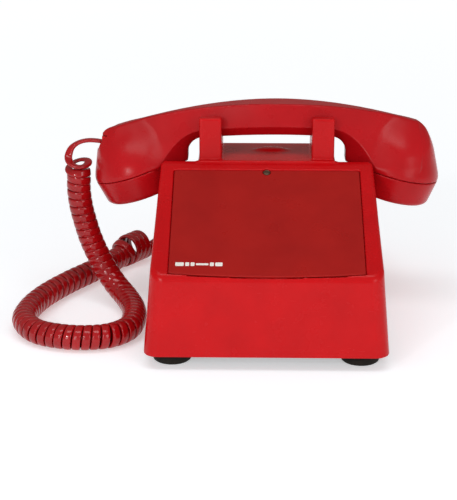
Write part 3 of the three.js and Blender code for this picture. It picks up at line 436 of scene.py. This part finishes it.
def cord_line():
    """All ring centres of the cord, from the handset to the base, and each ring's broad direction."""
    helix, across = curl()
    lead = spline(LEAD_ROUTE + [tuple(helix[0])], 80)
    tail = spline([tuple(helix[-1])] + TAIL_ROUTE, 80)
    flat_lead = unit(np.linspace(0, 1, len(lead))[:, None] ** 4 * [-1.0, -1.0, 0.0] + [0.0, 1.0, 0.0])
    toward = unit(np.gradient(tail, axis=0))
    flat_tail = unit(np.cross(toward, [0.0, 0.0, 1.0]))
    line = np.vstack([lead[:-1], helix, tail[1:]])
    broad = np.vstack([flat_lead[:-1], across, flat_tail[1:]])
    run = distance_along(line)
    step = 1.8
    count = int(run[-1] / step)
    at = np.linspace(0, run[-1], count)
    centre = np.stack([np.interp(at, run, line[:, k]) for k in range(3)], axis=1)
    facing = np.stack([np.interp(at, run, broad[:, k]) for k in range(3)], axis=1)
    reach = int(10 / step)
    kernel = np.hanning(2 * reach + 3)[1:-1]
    kernel /= kernel.sum()
    lead_rings = int(run[len(lead)] / step)
    tail_rings = int((run[-1] - run[-len(tail)]) / step)
    for a, b in ((0, lead_rings + 2 * reach), (count - tail_rings - 2 * reach, count)):
        for _ in range(2):
            part = np.pad(facing[a:b], ((reach, reach), (0, 0)), mode="edge")
            blurred = [np.convolve(part[:, k], kernel, "valid") for k in range(3)]
            facing[a:b] = unit(np.stack(blurred, axis=1))
    centre[1:-1] = 0.25 * centre[:-2] + 0.5 * centre[1:-1] + 0.25 * centre[2:]
    return centre, facing


def ribbon(centre, facing):
    """Flat cord with rounded edges and two shallow grooves between its conductors."""
    tangent = unit(np.gradient(centre, axis=0))
    wide = unit(facing - tangent * (facing * tangent).sum(1, keepdims=True))
    thick = np.cross(tangent, wide)
    section = []
    sides = 16
    for k in range(sides):
        t = 2 * math.pi * (k + 0.5) / sides
        c, s = math.cos(t), math.sin(t)
        w = math.copysign(abs(c) ** 0.62, c) * CORD_WIDE / 2
        h = math.copysign(abs(s) ** 0.55, s) * CORD_THICK / 2
        section.append((w, h * (0.93 if abs(w) < 0.9 else 1.0)))
    rings = np.stack([centre + wide * w + thick * h for w, h in section], axis=1)
    n = len(centre)
    quads = []
    for k in range(sides):
        j = (k + 1) % sides
        i = np.arange(n - 1) * sides
        quads.append(np.stack([i + k, i + j, i + sides + j, i + sides + k], axis=1))
    return rings.reshape(-1, 3), np.vstack(quads), sides


cord_centre, cord_facing = cord_line()
cord_points, cord_quads, cord_sides = ribbon(cord_centre, cord_facing)
last_ring = len(cord_points) - cord_sides
end_caps = [list(range(cord_sides))[::-1], list(range(last_ring, len(cord_points)))]
cord = piece(
    "curly_handset_cord", cord_points, cord_quads.tolist() + end_caps, red_cord, None,
    nodes=("curly_cord", "cord_lead_handset", "cord_lead_base"),
)
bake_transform(cord)


# ---------------------------------------------------------------- solids as distance fields, in mm
def meet(a, b, r=0.0):
    """Where both solids are, with the edge between them rounded to r."""
    if r <= 0:
        return np.maximum(a, b)
    return np.minimum(-r, np.maximum(a, b)) + np.hypot(np.maximum(a + r, 0), np.maximum(b + r, 0))


def bend(a, b, k):
    """Where both solids are, with the shallow bend between them softened."""
    h = np.maximum(k - np.abs(a - b), 0) / k
    return np.maximum(a, b) + h * h * k / 4


def join(a, b, r=0.0):
    """Where either solid is, with a fillet of r in the corner between them."""
    return -meet(-a, -b, r)


def less(a, b, r=0.0):
    """The first solid without the second, with the new edge rounded to r."""
    return meet(a, -b, r)


def line_side(u, v, a, b):
    """Distance outside the line from a to b in a plane; its right side is inside."""
    du, dv = b[0] - a[0], b[1] - a[1]
    long = math.hypot(du, dv)
    return ((v - a[1]) * du - (u - a[0]) * dv) / long


def slab(x, low, high, r=0.0):
    """Between two parallel planes."""
    return meet(low - x, x - high, r)


def nets(field, low, high, step):
    """Quads on the surface where field is 0, with exact normals."""
    block = 6
    low, high = np.asarray(low, float), np.asarray(high, float)
    blocks = np.ceil((high - low) / (step * block)).astype(int) + 1
    centre_axes = [low[k] + (np.arange(blocks[k]) + 0.5) * block * step - step / 2 for k in range(3)]
    centres = np.stack(np.meshgrid(*centre_axes, indexing="ij"), axis=-1).reshape(-1, 3)
    rough = field(centres)
    near = np.abs(rough) < 0.5 * math.sqrt(3) * block * step * 1.25
    shape = blocks * block
    signs = np.sign(rough).reshape(blocks).astype(np.float32)
    values = np.repeat(np.repeat(np.repeat(signs, block, 0), block, 1), block, 2) * 1e3
    cells = np.stack(np.unravel_index(np.nonzero(near)[0], blocks), axis=1)
    inner = np.stack(np.meshgrid(*[np.arange(block)] * 3, indexing="ij"), axis=-1).reshape(-1, 3)
    for part in np.array_split(cells, max(1, len(cells) // 2000)):
        index = (part[:, None] * block + inner[None]).reshape(-1, 3)
        values[index[:, 0], index[:, 1], index[:, 2]] = field(low + index * step)
    inside = values < 0
    count = np.zeros(shape - 1, np.int8)
    for i in (0, 1):
        for j in (0, 1):
            for k in (0, 1):
                count += inside[i : shape[0] - 1 + i, j : shape[1] - 1 + j, k : shape[2] - 1 + k]
    active = (count > 0) & (count < 8)
    where = np.stack(np.nonzero(active), axis=1)
    number = np.full(active.shape, -1, np.int64)
    number[active] = np.arange(len(where))
    corners = np.array([(i, j, k) for i in (0, 1) for j in (0, 1) for k in (0, 1)])
    level = np.stack(
        [values[where[:, 0] + c[0], where[:, 1] + c[1], where[:, 2] + c[2]] for c in corners], axis=1
    )
    total, crossings = np.zeros((len(where), 3)), np.zeros(len(where))
    for a in range(8):
        for b in range(a + 1, 8):
            if np.abs(corners[a] - corners[b]).sum() != 1:
                continue
            cross = (level[:, a] < 0) != (level[:, b] < 0)
            t = np.where(cross, level[:, a] / np.where(cross, level[:, a] - level[:, b], 1), 0)
            point = corners[a] + t[:, None] * (corners[b] - corners[a])
            total += point * cross[:, None]
            crossings += cross
    points = low + (where + total / crossings[:, None]) * step
    faces = []
    for axis in range(3):
        u, v = [k for k in range(3) if k != axis]
        a = np.take(inside, range(shape[axis] - 1), axis)
        b = np.take(inside, range(1, shape[axis]), axis)
        flips = a != b
        edge = np.stack(np.nonzero(flips), axis=1)
        edge = edge[(edge[:, u] > 0) & (edge[:, v] > 0)]
        edge = edge[(edge[:, u] < shape[u] - 1) & (edge[:, v] < shape[v] - 1)]
        ids = []
        for du, dv in ((1, 1), (0, 1), (0, 0), (1, 0)):
            cell = edge.copy()
            cell[:, u] -= du
            cell[:, v] -= dv
            ids.append(number[cell[:, 0], cell[:, 1], cell[:, 2]])
        quad = np.stack(ids, axis=1)
        out = inside[edge[:, 0], edge[:, 1], edge[:, 2]]
        turned = out if axis != 1 else ~out
        quad[~turned] = quad[~turned][:, ::-1]
        faces.append(quad)
    faces = np.vstack(faces)
    faces = faces[(faces >= 0).all(axis=1)]
    pairs = np.vstack([faces[:, [k, (k + 1) % 4]] for k in range(4)])
    degree = np.bincount(pairs.ravel(), minlength=len(points))[:, None]
    for _ in range(2):
        points = settle(field, points, step)
        mean = np.zeros_like(points)
        for k in range(3):
            mean[:, k] = np.bincount(pairs[:, 0], points[pairs[:, 1], k], len(points))
            mean[:, k] += np.bincount(pairs[:, 1], points[pairs[:, 0], k], len(points))
        points = 0.5 * points + 0.5 * mean / np.maximum(degree, 1)
    for _ in range(2):
        points = settle(field, points, step)
    return points, faces, slopes(field, points)[1]


def slopes(field, points, h=0.02):
    """Field and its unit gradient at points."""
    grad = np.empty_like(points)
    for k in range(3):
        d = np.zeros(3)
        d[k] = h
        grad[:, k] = field(points + d) - field(points - d)
    return field(points), unit(grad)


def settle(field, points, step):
    """Points moved along the gradient on to the surface."""
    value, normal = slopes(field, points)
    return points - normal * np.clip(value, -step, step)[:, None]


# ---------------------------------------------------------------- housing
def up_slope(y, z):
    """How far up the slope and how far out of it a point lies."""
    c, s = math.cos(SLOPE), math.sin(SLOPE)
    return (y - BEND_Y) * c + (z - BEND_Z) * s, -(y - BEND_Y) * s + (z - BEND_Z) * c


def plate_area(x, up, clear):
    """Outline of the faceplate: straight top and sides, and a lower edge that bulges."""
    half = PLATE_HALF + clear
    bow = (half * half + PLATE_BOW**2) / (2 * PLATE_BOW)
    low = PLATE_START - clear + 1 - PLATE_BOW
    lower = np.hypot(x, up - low - bow) - bow
    sides = meet(np.abs(x) - half, up - (PLATE_START + PLATE_LONG + clear), 1.2)
    return meet(sides, np.where(up < bow, lower, -1e3), 0.8)


def wedge(p, wall):
    """The body, drawn in by a wall, without the deck's pedestal."""
    x, y, z = np.abs(p[:, 0]), p[:, 1], p[:, 2]
    big = wall == 0
    up, out = up_slope(y, z)
    face = out + (FACE_WALL if wall else 0)
    apron = -line_side(-y, z, (HALF_DEPTH, RIM_Z), (-BEND_Y, BEND_Z)) + wall
    low_side = -line_side(x, z, (HALF_BOTTOM, RIM_Z), (HALF_BEND, BEND_Z)) + wall
    high_side = -line_side(x, z, (HALF_BEND, BEND_Z), (HALF_RIDGE, RIDGE_Z)) + wall
    side = -bend(-low_side, -high_side, 0.5) if big else np.minimum(low_side, high_side)
    ring = meet(side, meet(apron, y - HALF_DEPTH + wall), CORNER_R - wall)
    ridge = meet(meet(face, z - RIDGE_Z + wall, 1.6), y - RIDGE_BACK_Y + wall, 1.3 if big else 0)
    rear = bend(
        -line_side(y, z, REAR_BREAK, (-HALF_DEPTH, REAR_Z + 5)) + wall,
        -line_side(y, z, (HALF_DEPTH, REAR_EDGE_Z), REAR_BREAK) + wall, 3.0,
    )
    return ring, join(ridge, np.maximum(rear, RIDGE_BACK_Y - 8 - y), 3.5 if big else 0)


def pedestal(p, wall):
    """The raised deck behind the ridge, drawn in by a wall."""
    x, y, z = np.abs(p[:, 0]), p[:, 1], p[:, 2]
    back = -line_side(y, z, (DECK_BACK_Y + 8, REAR_Z - 20), (DECK_BACK_Y, RIDGE_Z)) + wall
    front = RIDGE_Y + 2 - y
    if wall:
        top = RIDGE_Z - wall
        behind_face = line_side(y, z, (RIDGE_Y - 12, top - 10), (RIDGE_Y + 4, top))
        front = np.maximum(RIDGE_Y - 12 - y, behind_face)
    upright_r, top_r = (0, 0) if wall else (5, 2.2)
    block = meet(meet(x - DECK_HALF + wall, back, upright_r), z - RIDGE_Z + wall, top_r)
    return meet(meet(block, front), REAR_Z - 20 - z)


def grip(p, wall, r):
    """The hollow for the fingers in the back of the pedestal, made larger by a wall."""
    x, y, z = np.abs(p[:, 0]), p[:, 1], p[:, 2]
    opening = meet(x - GRIP_HALF - wall, slab(z, GRIP_LOW_Z - wall, GRIP_HIGH_Z + wall, r), r)
    return meet(opening, GRIP_FRONT_Y - wall - y, r)


def arch(p):
    """Distance over the handset's arched back."""
    return np.hypot(p[:, 0] - ARCH_X, p[:, 2] - ARCH_TOP + ARCH_R) - ARCH_R


def underside(p):
    """Distance under the handle: a shallow arc between two coves that run down into the cups."""
    arc = UNDER_R - np.hypot(p[:, 0] - ARCH_X, p[:, 2] - ARCH_TOP + HANDLE_DEEP + UNDER_R)
    return join(arc, COVE_X - np.abs(p[:, 0]), COVE_R)


def handle_chamfer(p, under):
    """Distance outside the sloping faces between the handle's belt and its underside."""
    lean = HANDLE_HALF / 2 / (HANDLE_DEEP - HANDLE_BELT)
    return (np.abs(p[:, 1] - HANDLE_Y) - HANDLE_HALF / 2 + under * lean) / math.hypot(1, lean)


def posts(p):
    """Two pairs of posts, each with a saddle that the handle sinks into."""
    x, y, z = np.abs(p[:, 0]) - POST_X, p[:, 1] - HANDLE_Y, p[:, 2]
    near = HANDLE_HALF + GAP
    pair = meet(
        meet(np.abs(x) - POST_HALF, np.abs(np.abs(y) - near - POST_THICK / 2) - POST_THICK / 2, 1.3),
        z - POST_Z, 1.2,
    )
    saddle = meet(meet(np.abs(x) - POST_HALF, np.abs(y) - near - 1), z - SADDLE_Z)
    both = meet(join(pair, saddle, 0.8), RIDGE_Z - 6 - z)
    under = underside(p)
    groove = meet(np.abs(y) - near, meet(under - 0.4, arch(p) - 5))
    groove = meet(groove, handle_chamfer(p, under) - 0.4)
    return less(both, groove, 0.5)


def housing(p):
    """Wedge, deck, posts and rib, with their recesses, openings and hollow inside."""
    ring, top = wedge(p, 0)
    deck = join(top, pedestal(p, 0), 3)
    hump = join(deck, deck_hump(p), 1.0)
    body = meet(ring, hump, 3.2)
    body = less(body, grip(p, 0, 3), 2)
    body = join(body, posts(p), 1.2)
    body = meet(body, RIM_Z - p[:, 2], 0.8)
    up, out = up_slope(p[:, 1], p[:, 2])
    recess = meet(plate_area(p[:, 0], up, GAP), -(out + RECESS_DEEP))
    body = less(body, recess, 0.5)
    screw = meet(np.hypot(p[:, 0], up - SCREW_UP) - SCREW_SEAT_R, -(out + RECESS_DEEP))
    body = less(body, screw, 0.2)
    in_ring, in_top = wedge(p, WALL)
    hollow = meet(in_ring, join(in_top, pedestal(p, WALL)))
    hollow = less(hollow, grip(p, WALL, 0))
    body = less(body, hollow, 0.8)
    well = np.hypot(np.abs(p[:, 0]) - POST_X, p[:, 1] - HANDLE_Y) - PLUNGER_R - RUN
    body = less(body, meet(well, meet(RIDGE_Z - 12 - p[:, 2], p[:, 2] - SADDLE_Z - 2)), 0.4)
    for x in JACKS:
        hole = meet(
            np.abs(p[:, 0] - x) - JACK_HALF_WIDE - GAP,
            np.abs(p[:, 2] - JACK_Z) - JACK_HALF_TALL - GAP, 0.6,
        )
        body = less(body, meet(hole, HALF_DEPTH - WALL - 3 - p[:, 1]), 0.5)
    return body


def deck_hump(p):
    """Low arched rib in the middle of the deck, under the handle."""
    across, back = (p[:, 0] - HUMP_X) / HUMP_HALF, (p[:, 1] - HUMP_Y) / HUMP_REACH
    up = (p[:, 2] - RIDGE_Z) / HUMP_HIGH
    return (np.sqrt(across**2 + back**2 + up**2) - 1) * HUMP_HIGH


# ---------------------------------------------------------------- handset
def cup_place(side):
    """Centre of a cup's seam and its axis away from the cap."""
    tilt, sign = TILT[side], SIGN[side]
    widest = max(r * math.cos(tilt) + z * math.sin(tilt) for r, z in CUP_LINE)
    centre = np.array([sign * (HANDSET_HALF - widest), HANDLE_Y, SEAM_Z[side]])
    return centre, np.array([sign * math.sin(tilt), 0.0, math.cos(tilt)])


def in_cup(p, side):
    """Distance from a cup's axis and height over its seam."""
    centre, axis = cup_place(side)
    rel = p - centre
    high = rel @ axis
    return np.linalg.norm(rel - high[:, None] * axis, axis=1), high


DOME = spline([(r, 0.0, z) for r, z in CUP_LINE] + [(0.0, 0.0, DOME_TOP)], 160)
DOME_LEAN = np.gradient(DOME[:, 0], DOME[:, 2])


def dome(r, z):
    """Distance outside a cup's turned outline."""
    lean = np.interp(z, DOME[:, 2], DOME_LEAN)
    return np.maximum((r - np.interp(z, DOME[:, 2], DOME[:, 0])) / np.hypot(1, lean), z - DOME_TOP)


def handset(p):
    """Handle with a ridged back and sloping faces, two domed cups, and threaded necks for the caps."""
    depth = arch(p)
    half = np.abs(p[:, 1] - HANDLE_Y)
    crest = CREST_HALF - CREST_LESS * smooth_step(np.abs(p[:, 0] - ARCH_X) / CREST_LONG)
    under = underside(p)
    face = (half - crest) * HANDLE_BELT + depth * (HANDLE_HALF - crest)
    face = face / np.hypot(HANDLE_BELT, HANDLE_HALF - crest)
    bar = meet(bend(face, handle_chamfer(p, under), 0.5), under, 1.0)
    bar = meet(bar, np.abs(p[:, 0]) - HANDSET_HALF + BAR_SHORT)
    shell = meet(bar, COVE_LOW_Z - p[:, 2], 1.5)
    roof = ((half - crest) + depth * ROOF_LEAN) / math.hypot(1, ROOF_LEAN)
    for side in ("left", "right"):
        r, z = in_cup(p, side)
        cup = meet(meet(dome(r, z), roof, 5), GAP / 2 - z, 0.7)
        shell = meet(shell, np.where(r < CUP_R + 1, GAP / 2 - z, -1e3))
        shell = join(shell, cup, 4)
    shell = meet(shell, depth, 1.0)
    for side in ("left", "right"):
        r, z = in_cup(p, side)
        neck = meet(meet(r - NECK_R, z - 1), -(z + NECK_DEEP), 0.4)
        shell = join(shell, neck)
        taper = np.maximum(r - NECK_INNER, r - NECK_INNER + (z - 3) * 0.42)
        room = meet(meet(taper, z - 14), -(z + NECK_DEEP + 2))
        shell = less(shell, room, 0.3)
    jack = meet(
        np.abs(p[:, 1] - HANDLE_Y) - HANDSET_JACK_HALF_WIDE,
        np.abs(p[:, 2] - HANDSET_JACK_Z) - HANDSET_JACK_HALF_TALL, 0.6,
    )
    return less(shell, meet(jack, p[:, 0] - HANDSET_JACK_X), 0.6)


def cap(side, holes):
    """Screw cap: conical rim, rolled edge, shallow dish and a pattern of sound holes."""
    centre, axis = cup_place(side)
    across = np.array([axis[2], 0.0, -axis[0]])

    def field(p):
        rel = p - centre
        z = rel @ axis
        u, v = rel @ across, rel[:, 1]
        r = np.hypot(u, v)
        floor = -CAP_DEEP
        rim = -line_side(r, z, (CAP_R, floor), (CUP_R, -GAP / 2))
        body = meet(meet(rim, z + GAP / 2, 0.7), floor - z, CAP_EDGE_R)
        dish = np.hypot(r, z - floor + DISH_R - DISH_DEEP) - DISH_R
        body = less(body, dish, 0.9)
        room = meet(r - CAP_ROOM_R, -(z - floor - CAP_FLOOR), 1.5)
        thread = meet(r - NECK_R - GAP, -(z + NECK_DEEP + 0.6))
        body = less(less(body, room), thread)
        for ring, count, size in holes:
            for k in range(count):
                a = 2 * math.pi * (k + 0.5) / count
                hole = np.hypot(u - ring * math.cos(a), v - ring * math.sin(a)) - size
                body = less(body, hole, 0.35)
        return body

    reach = CUP_R + 2
    return field, centre - [reach, reach, CAP_DEEP + 9], centre + [reach, reach, 9]


def solid(name, field, low, high, step, material, body, nodes):
    """Piece on the surface of a distance field, meshed at a step in mm."""
    points, faces, normals = nets(field, low, high, step * FINE)
    return piece(name, points, faces, material, body, nodes, normals)


solid(
    "housing_shell", housing, (-82, -111, 5), (82, 111, 137), 1.2, red_shell, "base",
    ("housing",),
)
solid(
    "handset_body", handset, (-118, -16, 84), (118, 46, 143), 0.85, handset_red_painted_shade, "handset",
    ("handset_shell",),
)
MOUTH_HOLES = [(0, 1, 1.3), (6, 6, 1.3), (12, 12, 1.3)]
EAR_HOLES = [(0, 1, 1.2), (5, 6, 1.2), (10, 12, 1.2)]
for cap_name, cap_side, cap_holes in (
    ("transmitter_cap", "left", MOUTH_HOLES), ("receiver_cap", "right", EAR_HOLES),
):
    cap_field, cap_low, cap_high = cap(cap_side, cap_holes)
    solid(
        cap_name + "_shell", cap_field, cap_low, cap_high, 0.75, handset_red_painted_shade, "handset",
        (cap_name,),
    )


# ---------------------------------------------------------------- faceplate
def on_slope(x, up, out):
    """Point of the body from its place along and over the slope."""
    c, s = math.cos(SLOPE), math.sin(SLOPE)
    return (x, BEND_Y + up * c - out * s, BEND_Z + up * s + out * c)


def plate_outline(inset, sides=24):
    """Faceplate's outline, drawn in: bulging lower edge, square sides, a notch for the screw."""
    half = PLATE_HALF - inset
    bow = (PLATE_HALF**2 + PLATE_BOW**2) / (2 * PLATE_BOW)
    low, top = PLATE_START + 1 - PLATE_BOW + inset, PLATE_START + PLATE_LONG - inset
    across = np.linspace(-half, half, sides + 1)
    lower_edge = [(x, low + bow - math.sqrt(bow * bow - x * x)) for x in across]
    r = 1.2
    corners = []
    for cx, start in ((half - r, 0), (-half + r, 90)):
        turn = np.radians(start + 18 * np.arange(6))
        corners.append([(cx + r * math.cos(a), top - r + r * math.sin(a)) for a in turn])
    notch_r = SCREW_SEAT_R + inset
    open_at = math.asin((top - SCREW_UP) / notch_r)
    notch = [
        (notch_r * math.cos(a), SCREW_UP + notch_r * math.sin(a))
        for a in np.linspace(open_at, -math.pi - open_at, 20)
    ]
    return lower_edge + corners[0] + notch + corners[1]


def faceplate():
    """Thin plate with a softened rim."""
    base = -RECESS_DEEP + GAP
    top = base + PLATE_THICK
    rim = [(0.0, base), (0.0, top - 0.45), (0.13, top - 0.13), (0.45, top)]
    loops = [[on_slope(x, up, out) for x, up in plate_outline(inset)] for inset, out in rim]
    n = len(loops[0])
    verts = [v for loop in loops for v in loop]
    faces = []
    for level in range(len(loops) - 1):
        a, b = level * n, (level + 1) * n
        faces += [[a + k, a + (k + 1) % n, b + (k + 1) % n, b + k] for k in range(n)]
    faces += [list(range(n))[::-1], [(len(loops) - 1) * n + k for k in range(n)]]
    plate = piece("blank_faceplate", verts, faces, red_panel, "base", ("faceplate",))
    mesh = plate.data
    mesh.polygons.foreach_set("use_smooth", [len(p.vertices) == 4 for p in mesh.polygons])
    bm = bmesh.new()
    bm.from_mesh(mesh)
    bmesh.ops.triangulate(bm, faces=[f for f in bm.faces if len(f.verts) > 4])
    bm.to_mesh(mesh)
    bm.free()


faceplate()


def printed_mark():
    """Row of plain printed bars at the faceplate's lower left."""
    verts, faces = [], []
    top = -RECESS_DEEP + GAP + PLATE_THICK
    x, mid, between, r = -55.6, 11.0, 0.85, 0.5
    for wide, half in ((5.2, 1.5), (2.4, 1.5), (2.4, 1.5), (7.6, 0.8), (2.4, 1.5), (4.4, 1.5)):
        base = len(verts)
        ring = []
        for cx, cy, start in (
            (x + wide - r, mid + half - r, 0), (x + r, mid + half - r, 90),
            (x + r, mid - half + r, 180), (x + wide - r, mid - half + r, 270),
        ):
            for j in range(5):
                a = math.radians(start + 22.5 * j)
                ring.append((cx + r * math.cos(a), cy + r * math.sin(a)))
        n = len(ring)
        verts += [on_slope(u, v, top + lift) for lift in (-0.05, 0.06) for u, v in ring]
        faces += [[base + i, base + (i + 1) % n, base + n + (i + 1) % n, base + n + i] for i in range(n)]
        faces.append([base + n + i for i in range(n)])
        faces.append([base + n - 1 - i for i in range(n)])
        x += wide + between
    mark = piece("printed_bars", verts, faces, white_print, "base")
    mark.data.polygons.foreach_set("use_smooth", [False] * len(mark.data.polygons))


printed_mark()


# ---------------------------------------------------------------- feet
def foot(name, x, y):
    """Turned rubber foot with a rolled lower edge, a waist groove and a hollow sole."""
    line = [
        (0, 1.0), (5.5, 1.0), (6.6, 0.75), (7.2, 0.2), (8.0, 0.0), (10.0, 0.0), (11.0, 0.25),
        (11.75, 0.85), (12.05, 1.6), (12.2, 2.6), (12.2, 5.4), (11.9, 5.8), (11.9, 6.3),
        (12.2, 6.7), (12.2, 8.0), (11.9, 8.5), (11.3, FOOT_TOP), (3.2, FOOT_TOP), (3.2, 11.2),
        (0, 11.2),
    ]
    sides = 64
    verts = [(x, y, line[0][1])]
    for r, z in line[1:-1]:
        verts += [
            (x + r * math.cos(2 * math.pi * k / sides), y + r * math.sin(2 * math.pi * k / sides), z)
            for k in range(sides)
        ]
    verts.append((x, y, line[-1][1]))
    faces = [[0, 1 + (k + 1) % sides, 1 + k] for k in range(sides)]
    for i in range(len(line) - 3):
        a, b = 1 + i * sides, 1 + (i + 1) * sides
        faces += [[a + k, a + (k + 1) % sides, b + (k + 1) % sides, b + k] for k in range(sides)]
    last = 1 + (len(line) - 3) * sides
    faces += [[last + k, last + (k + 1) % sides, len(verts) - 1] for k in range(sides)]
    piece(name, verts, faces, black_rubber, "base", (name.replace("_rubber", ""),))


for front, foot_y in (("front", -FOOT_Y), ("rear", FOOT_Y)):
    for hand, foot_x in (("left", -FOOT_X), ("right", FOOT_X)):
        foot(f"foot_{front}_{hand}_rubber", foot_x, foot_y)


# ---------------------------------------------------------------- room
def room():
    """Pale paper sheet under the telephone, glowing with painted light: dimmer near the telephone to
    paint shade round it, brighter far off.
    """
    reach, rows = 40000, 40
    grid = np.linspace(-reach, reach, rows + 1)
    verts = [(x, y, 0.0) for y in grid for x in grid]
    wide = rows + 1
    faces = [
        [r * wide + c, r * wide + c + 1, (r + 1) * wide + c + 1, (r + 1) * wide + c]
        for r in range(rows) for c in range(rows)
    ]
    n = Nodes("paper")
    fibres = n.noise(420.0, 3.0)
    away = n.add("ShaderNodeVectorMath", {0: n.place}, operation="LENGTH").outputs["Value"]
    n.finish(
        Base_Color=n.mix(n.ramp(fibres, 0.3, 0.7, 0.0, 1.0), rgb("eaf0f4"), rgb("eef4f8")),
        Roughness=0.9, Specular_IOR_Level=0.1, Emission_Color=(1, 1, 1, 1),
        # painted light: the paper glows, less near the telephone to darken the shade round it and more
        # far away where the lamps light it less
        Emission_Strength=n.ramp(away, 0.15, 1.6, 0.42, 0.64),
    )
    floor = piece("floor", verts, faces, n.material, None)


def studio():
    """Soft surroundings: pale in front, dim and warm behind."""
    world = bpy.data.worlds.new("studio")
    bpy.context.scene.world = world
    world.use_nodes = True
    tree = world.node_tree
    back = tree.nodes["Background"]
    place = tree.nodes.new("ShaderNodeTexCoord")
    parts = tree.nodes.new("ShaderNodeSeparateXYZ")
    ramp = tree.nodes.new("ShaderNodeValToRGB")
    share = tree.nodes.new("ShaderNodeMapRange")
    tree.links.new(place.outputs["Generated"], parts.inputs[0])
    tree.links.new(parts.outputs["Y"], share.inputs["Value"])
    share.inputs["From Min"].default_value = -0.9
    share.inputs["From Max"].default_value = 0.8
    tree.links.new(share.outputs["Result"], ramp.inputs["Fac"])
    tree.links.new(ramp.outputs["Color"], back.inputs["Color"])
    ramp.color_ramp.elements[0].color = (0.52, 0.52, 0.53, 1)
    ramp.color_ramp.elements[1].color = (0.26, 0.24, 0.23, 1)
    back.inputs["Strength"].default_value = 1.0


def lamp(name, at, to, size, power):
    """Rectangular area light at a place, turned towards another."""
    data = bpy.data.lights.new(name, "AREA")
    data.shape, data.size, data.size_y = "RECTANGLE", size[0], size[1]
    data.energy = power
    obj = bpy.data.objects.new(name, data)
    bpy.context.scene.collection.objects.link(obj)
    obj.location = at
    obj.rotation_euler = (Vector(to) - Vector(at)).to_track_quat("-Z", "Y").to_euler()


room()
studio()
lamp("softbox_left", (-0.85, -1.9, 0.62), (0, 0, 0.08), (0.6, 0.9), 7)
lamp("softbox_right", (1.25, -1.6, 0.7), (0, 0, 0.08), (0.6, 0.9), 6)
lamp("softbox_top", (-0.1, -0.6, 1.8), (0, 0, 0.05), (1.6, 0.5), 9)
lamp("key", (-0.75, -1.3, 0.75), (0, 0, 0.05), (0.09, 0.09), 2.2)
bpy.context.scene.view_settings.view_transform = "Standard"
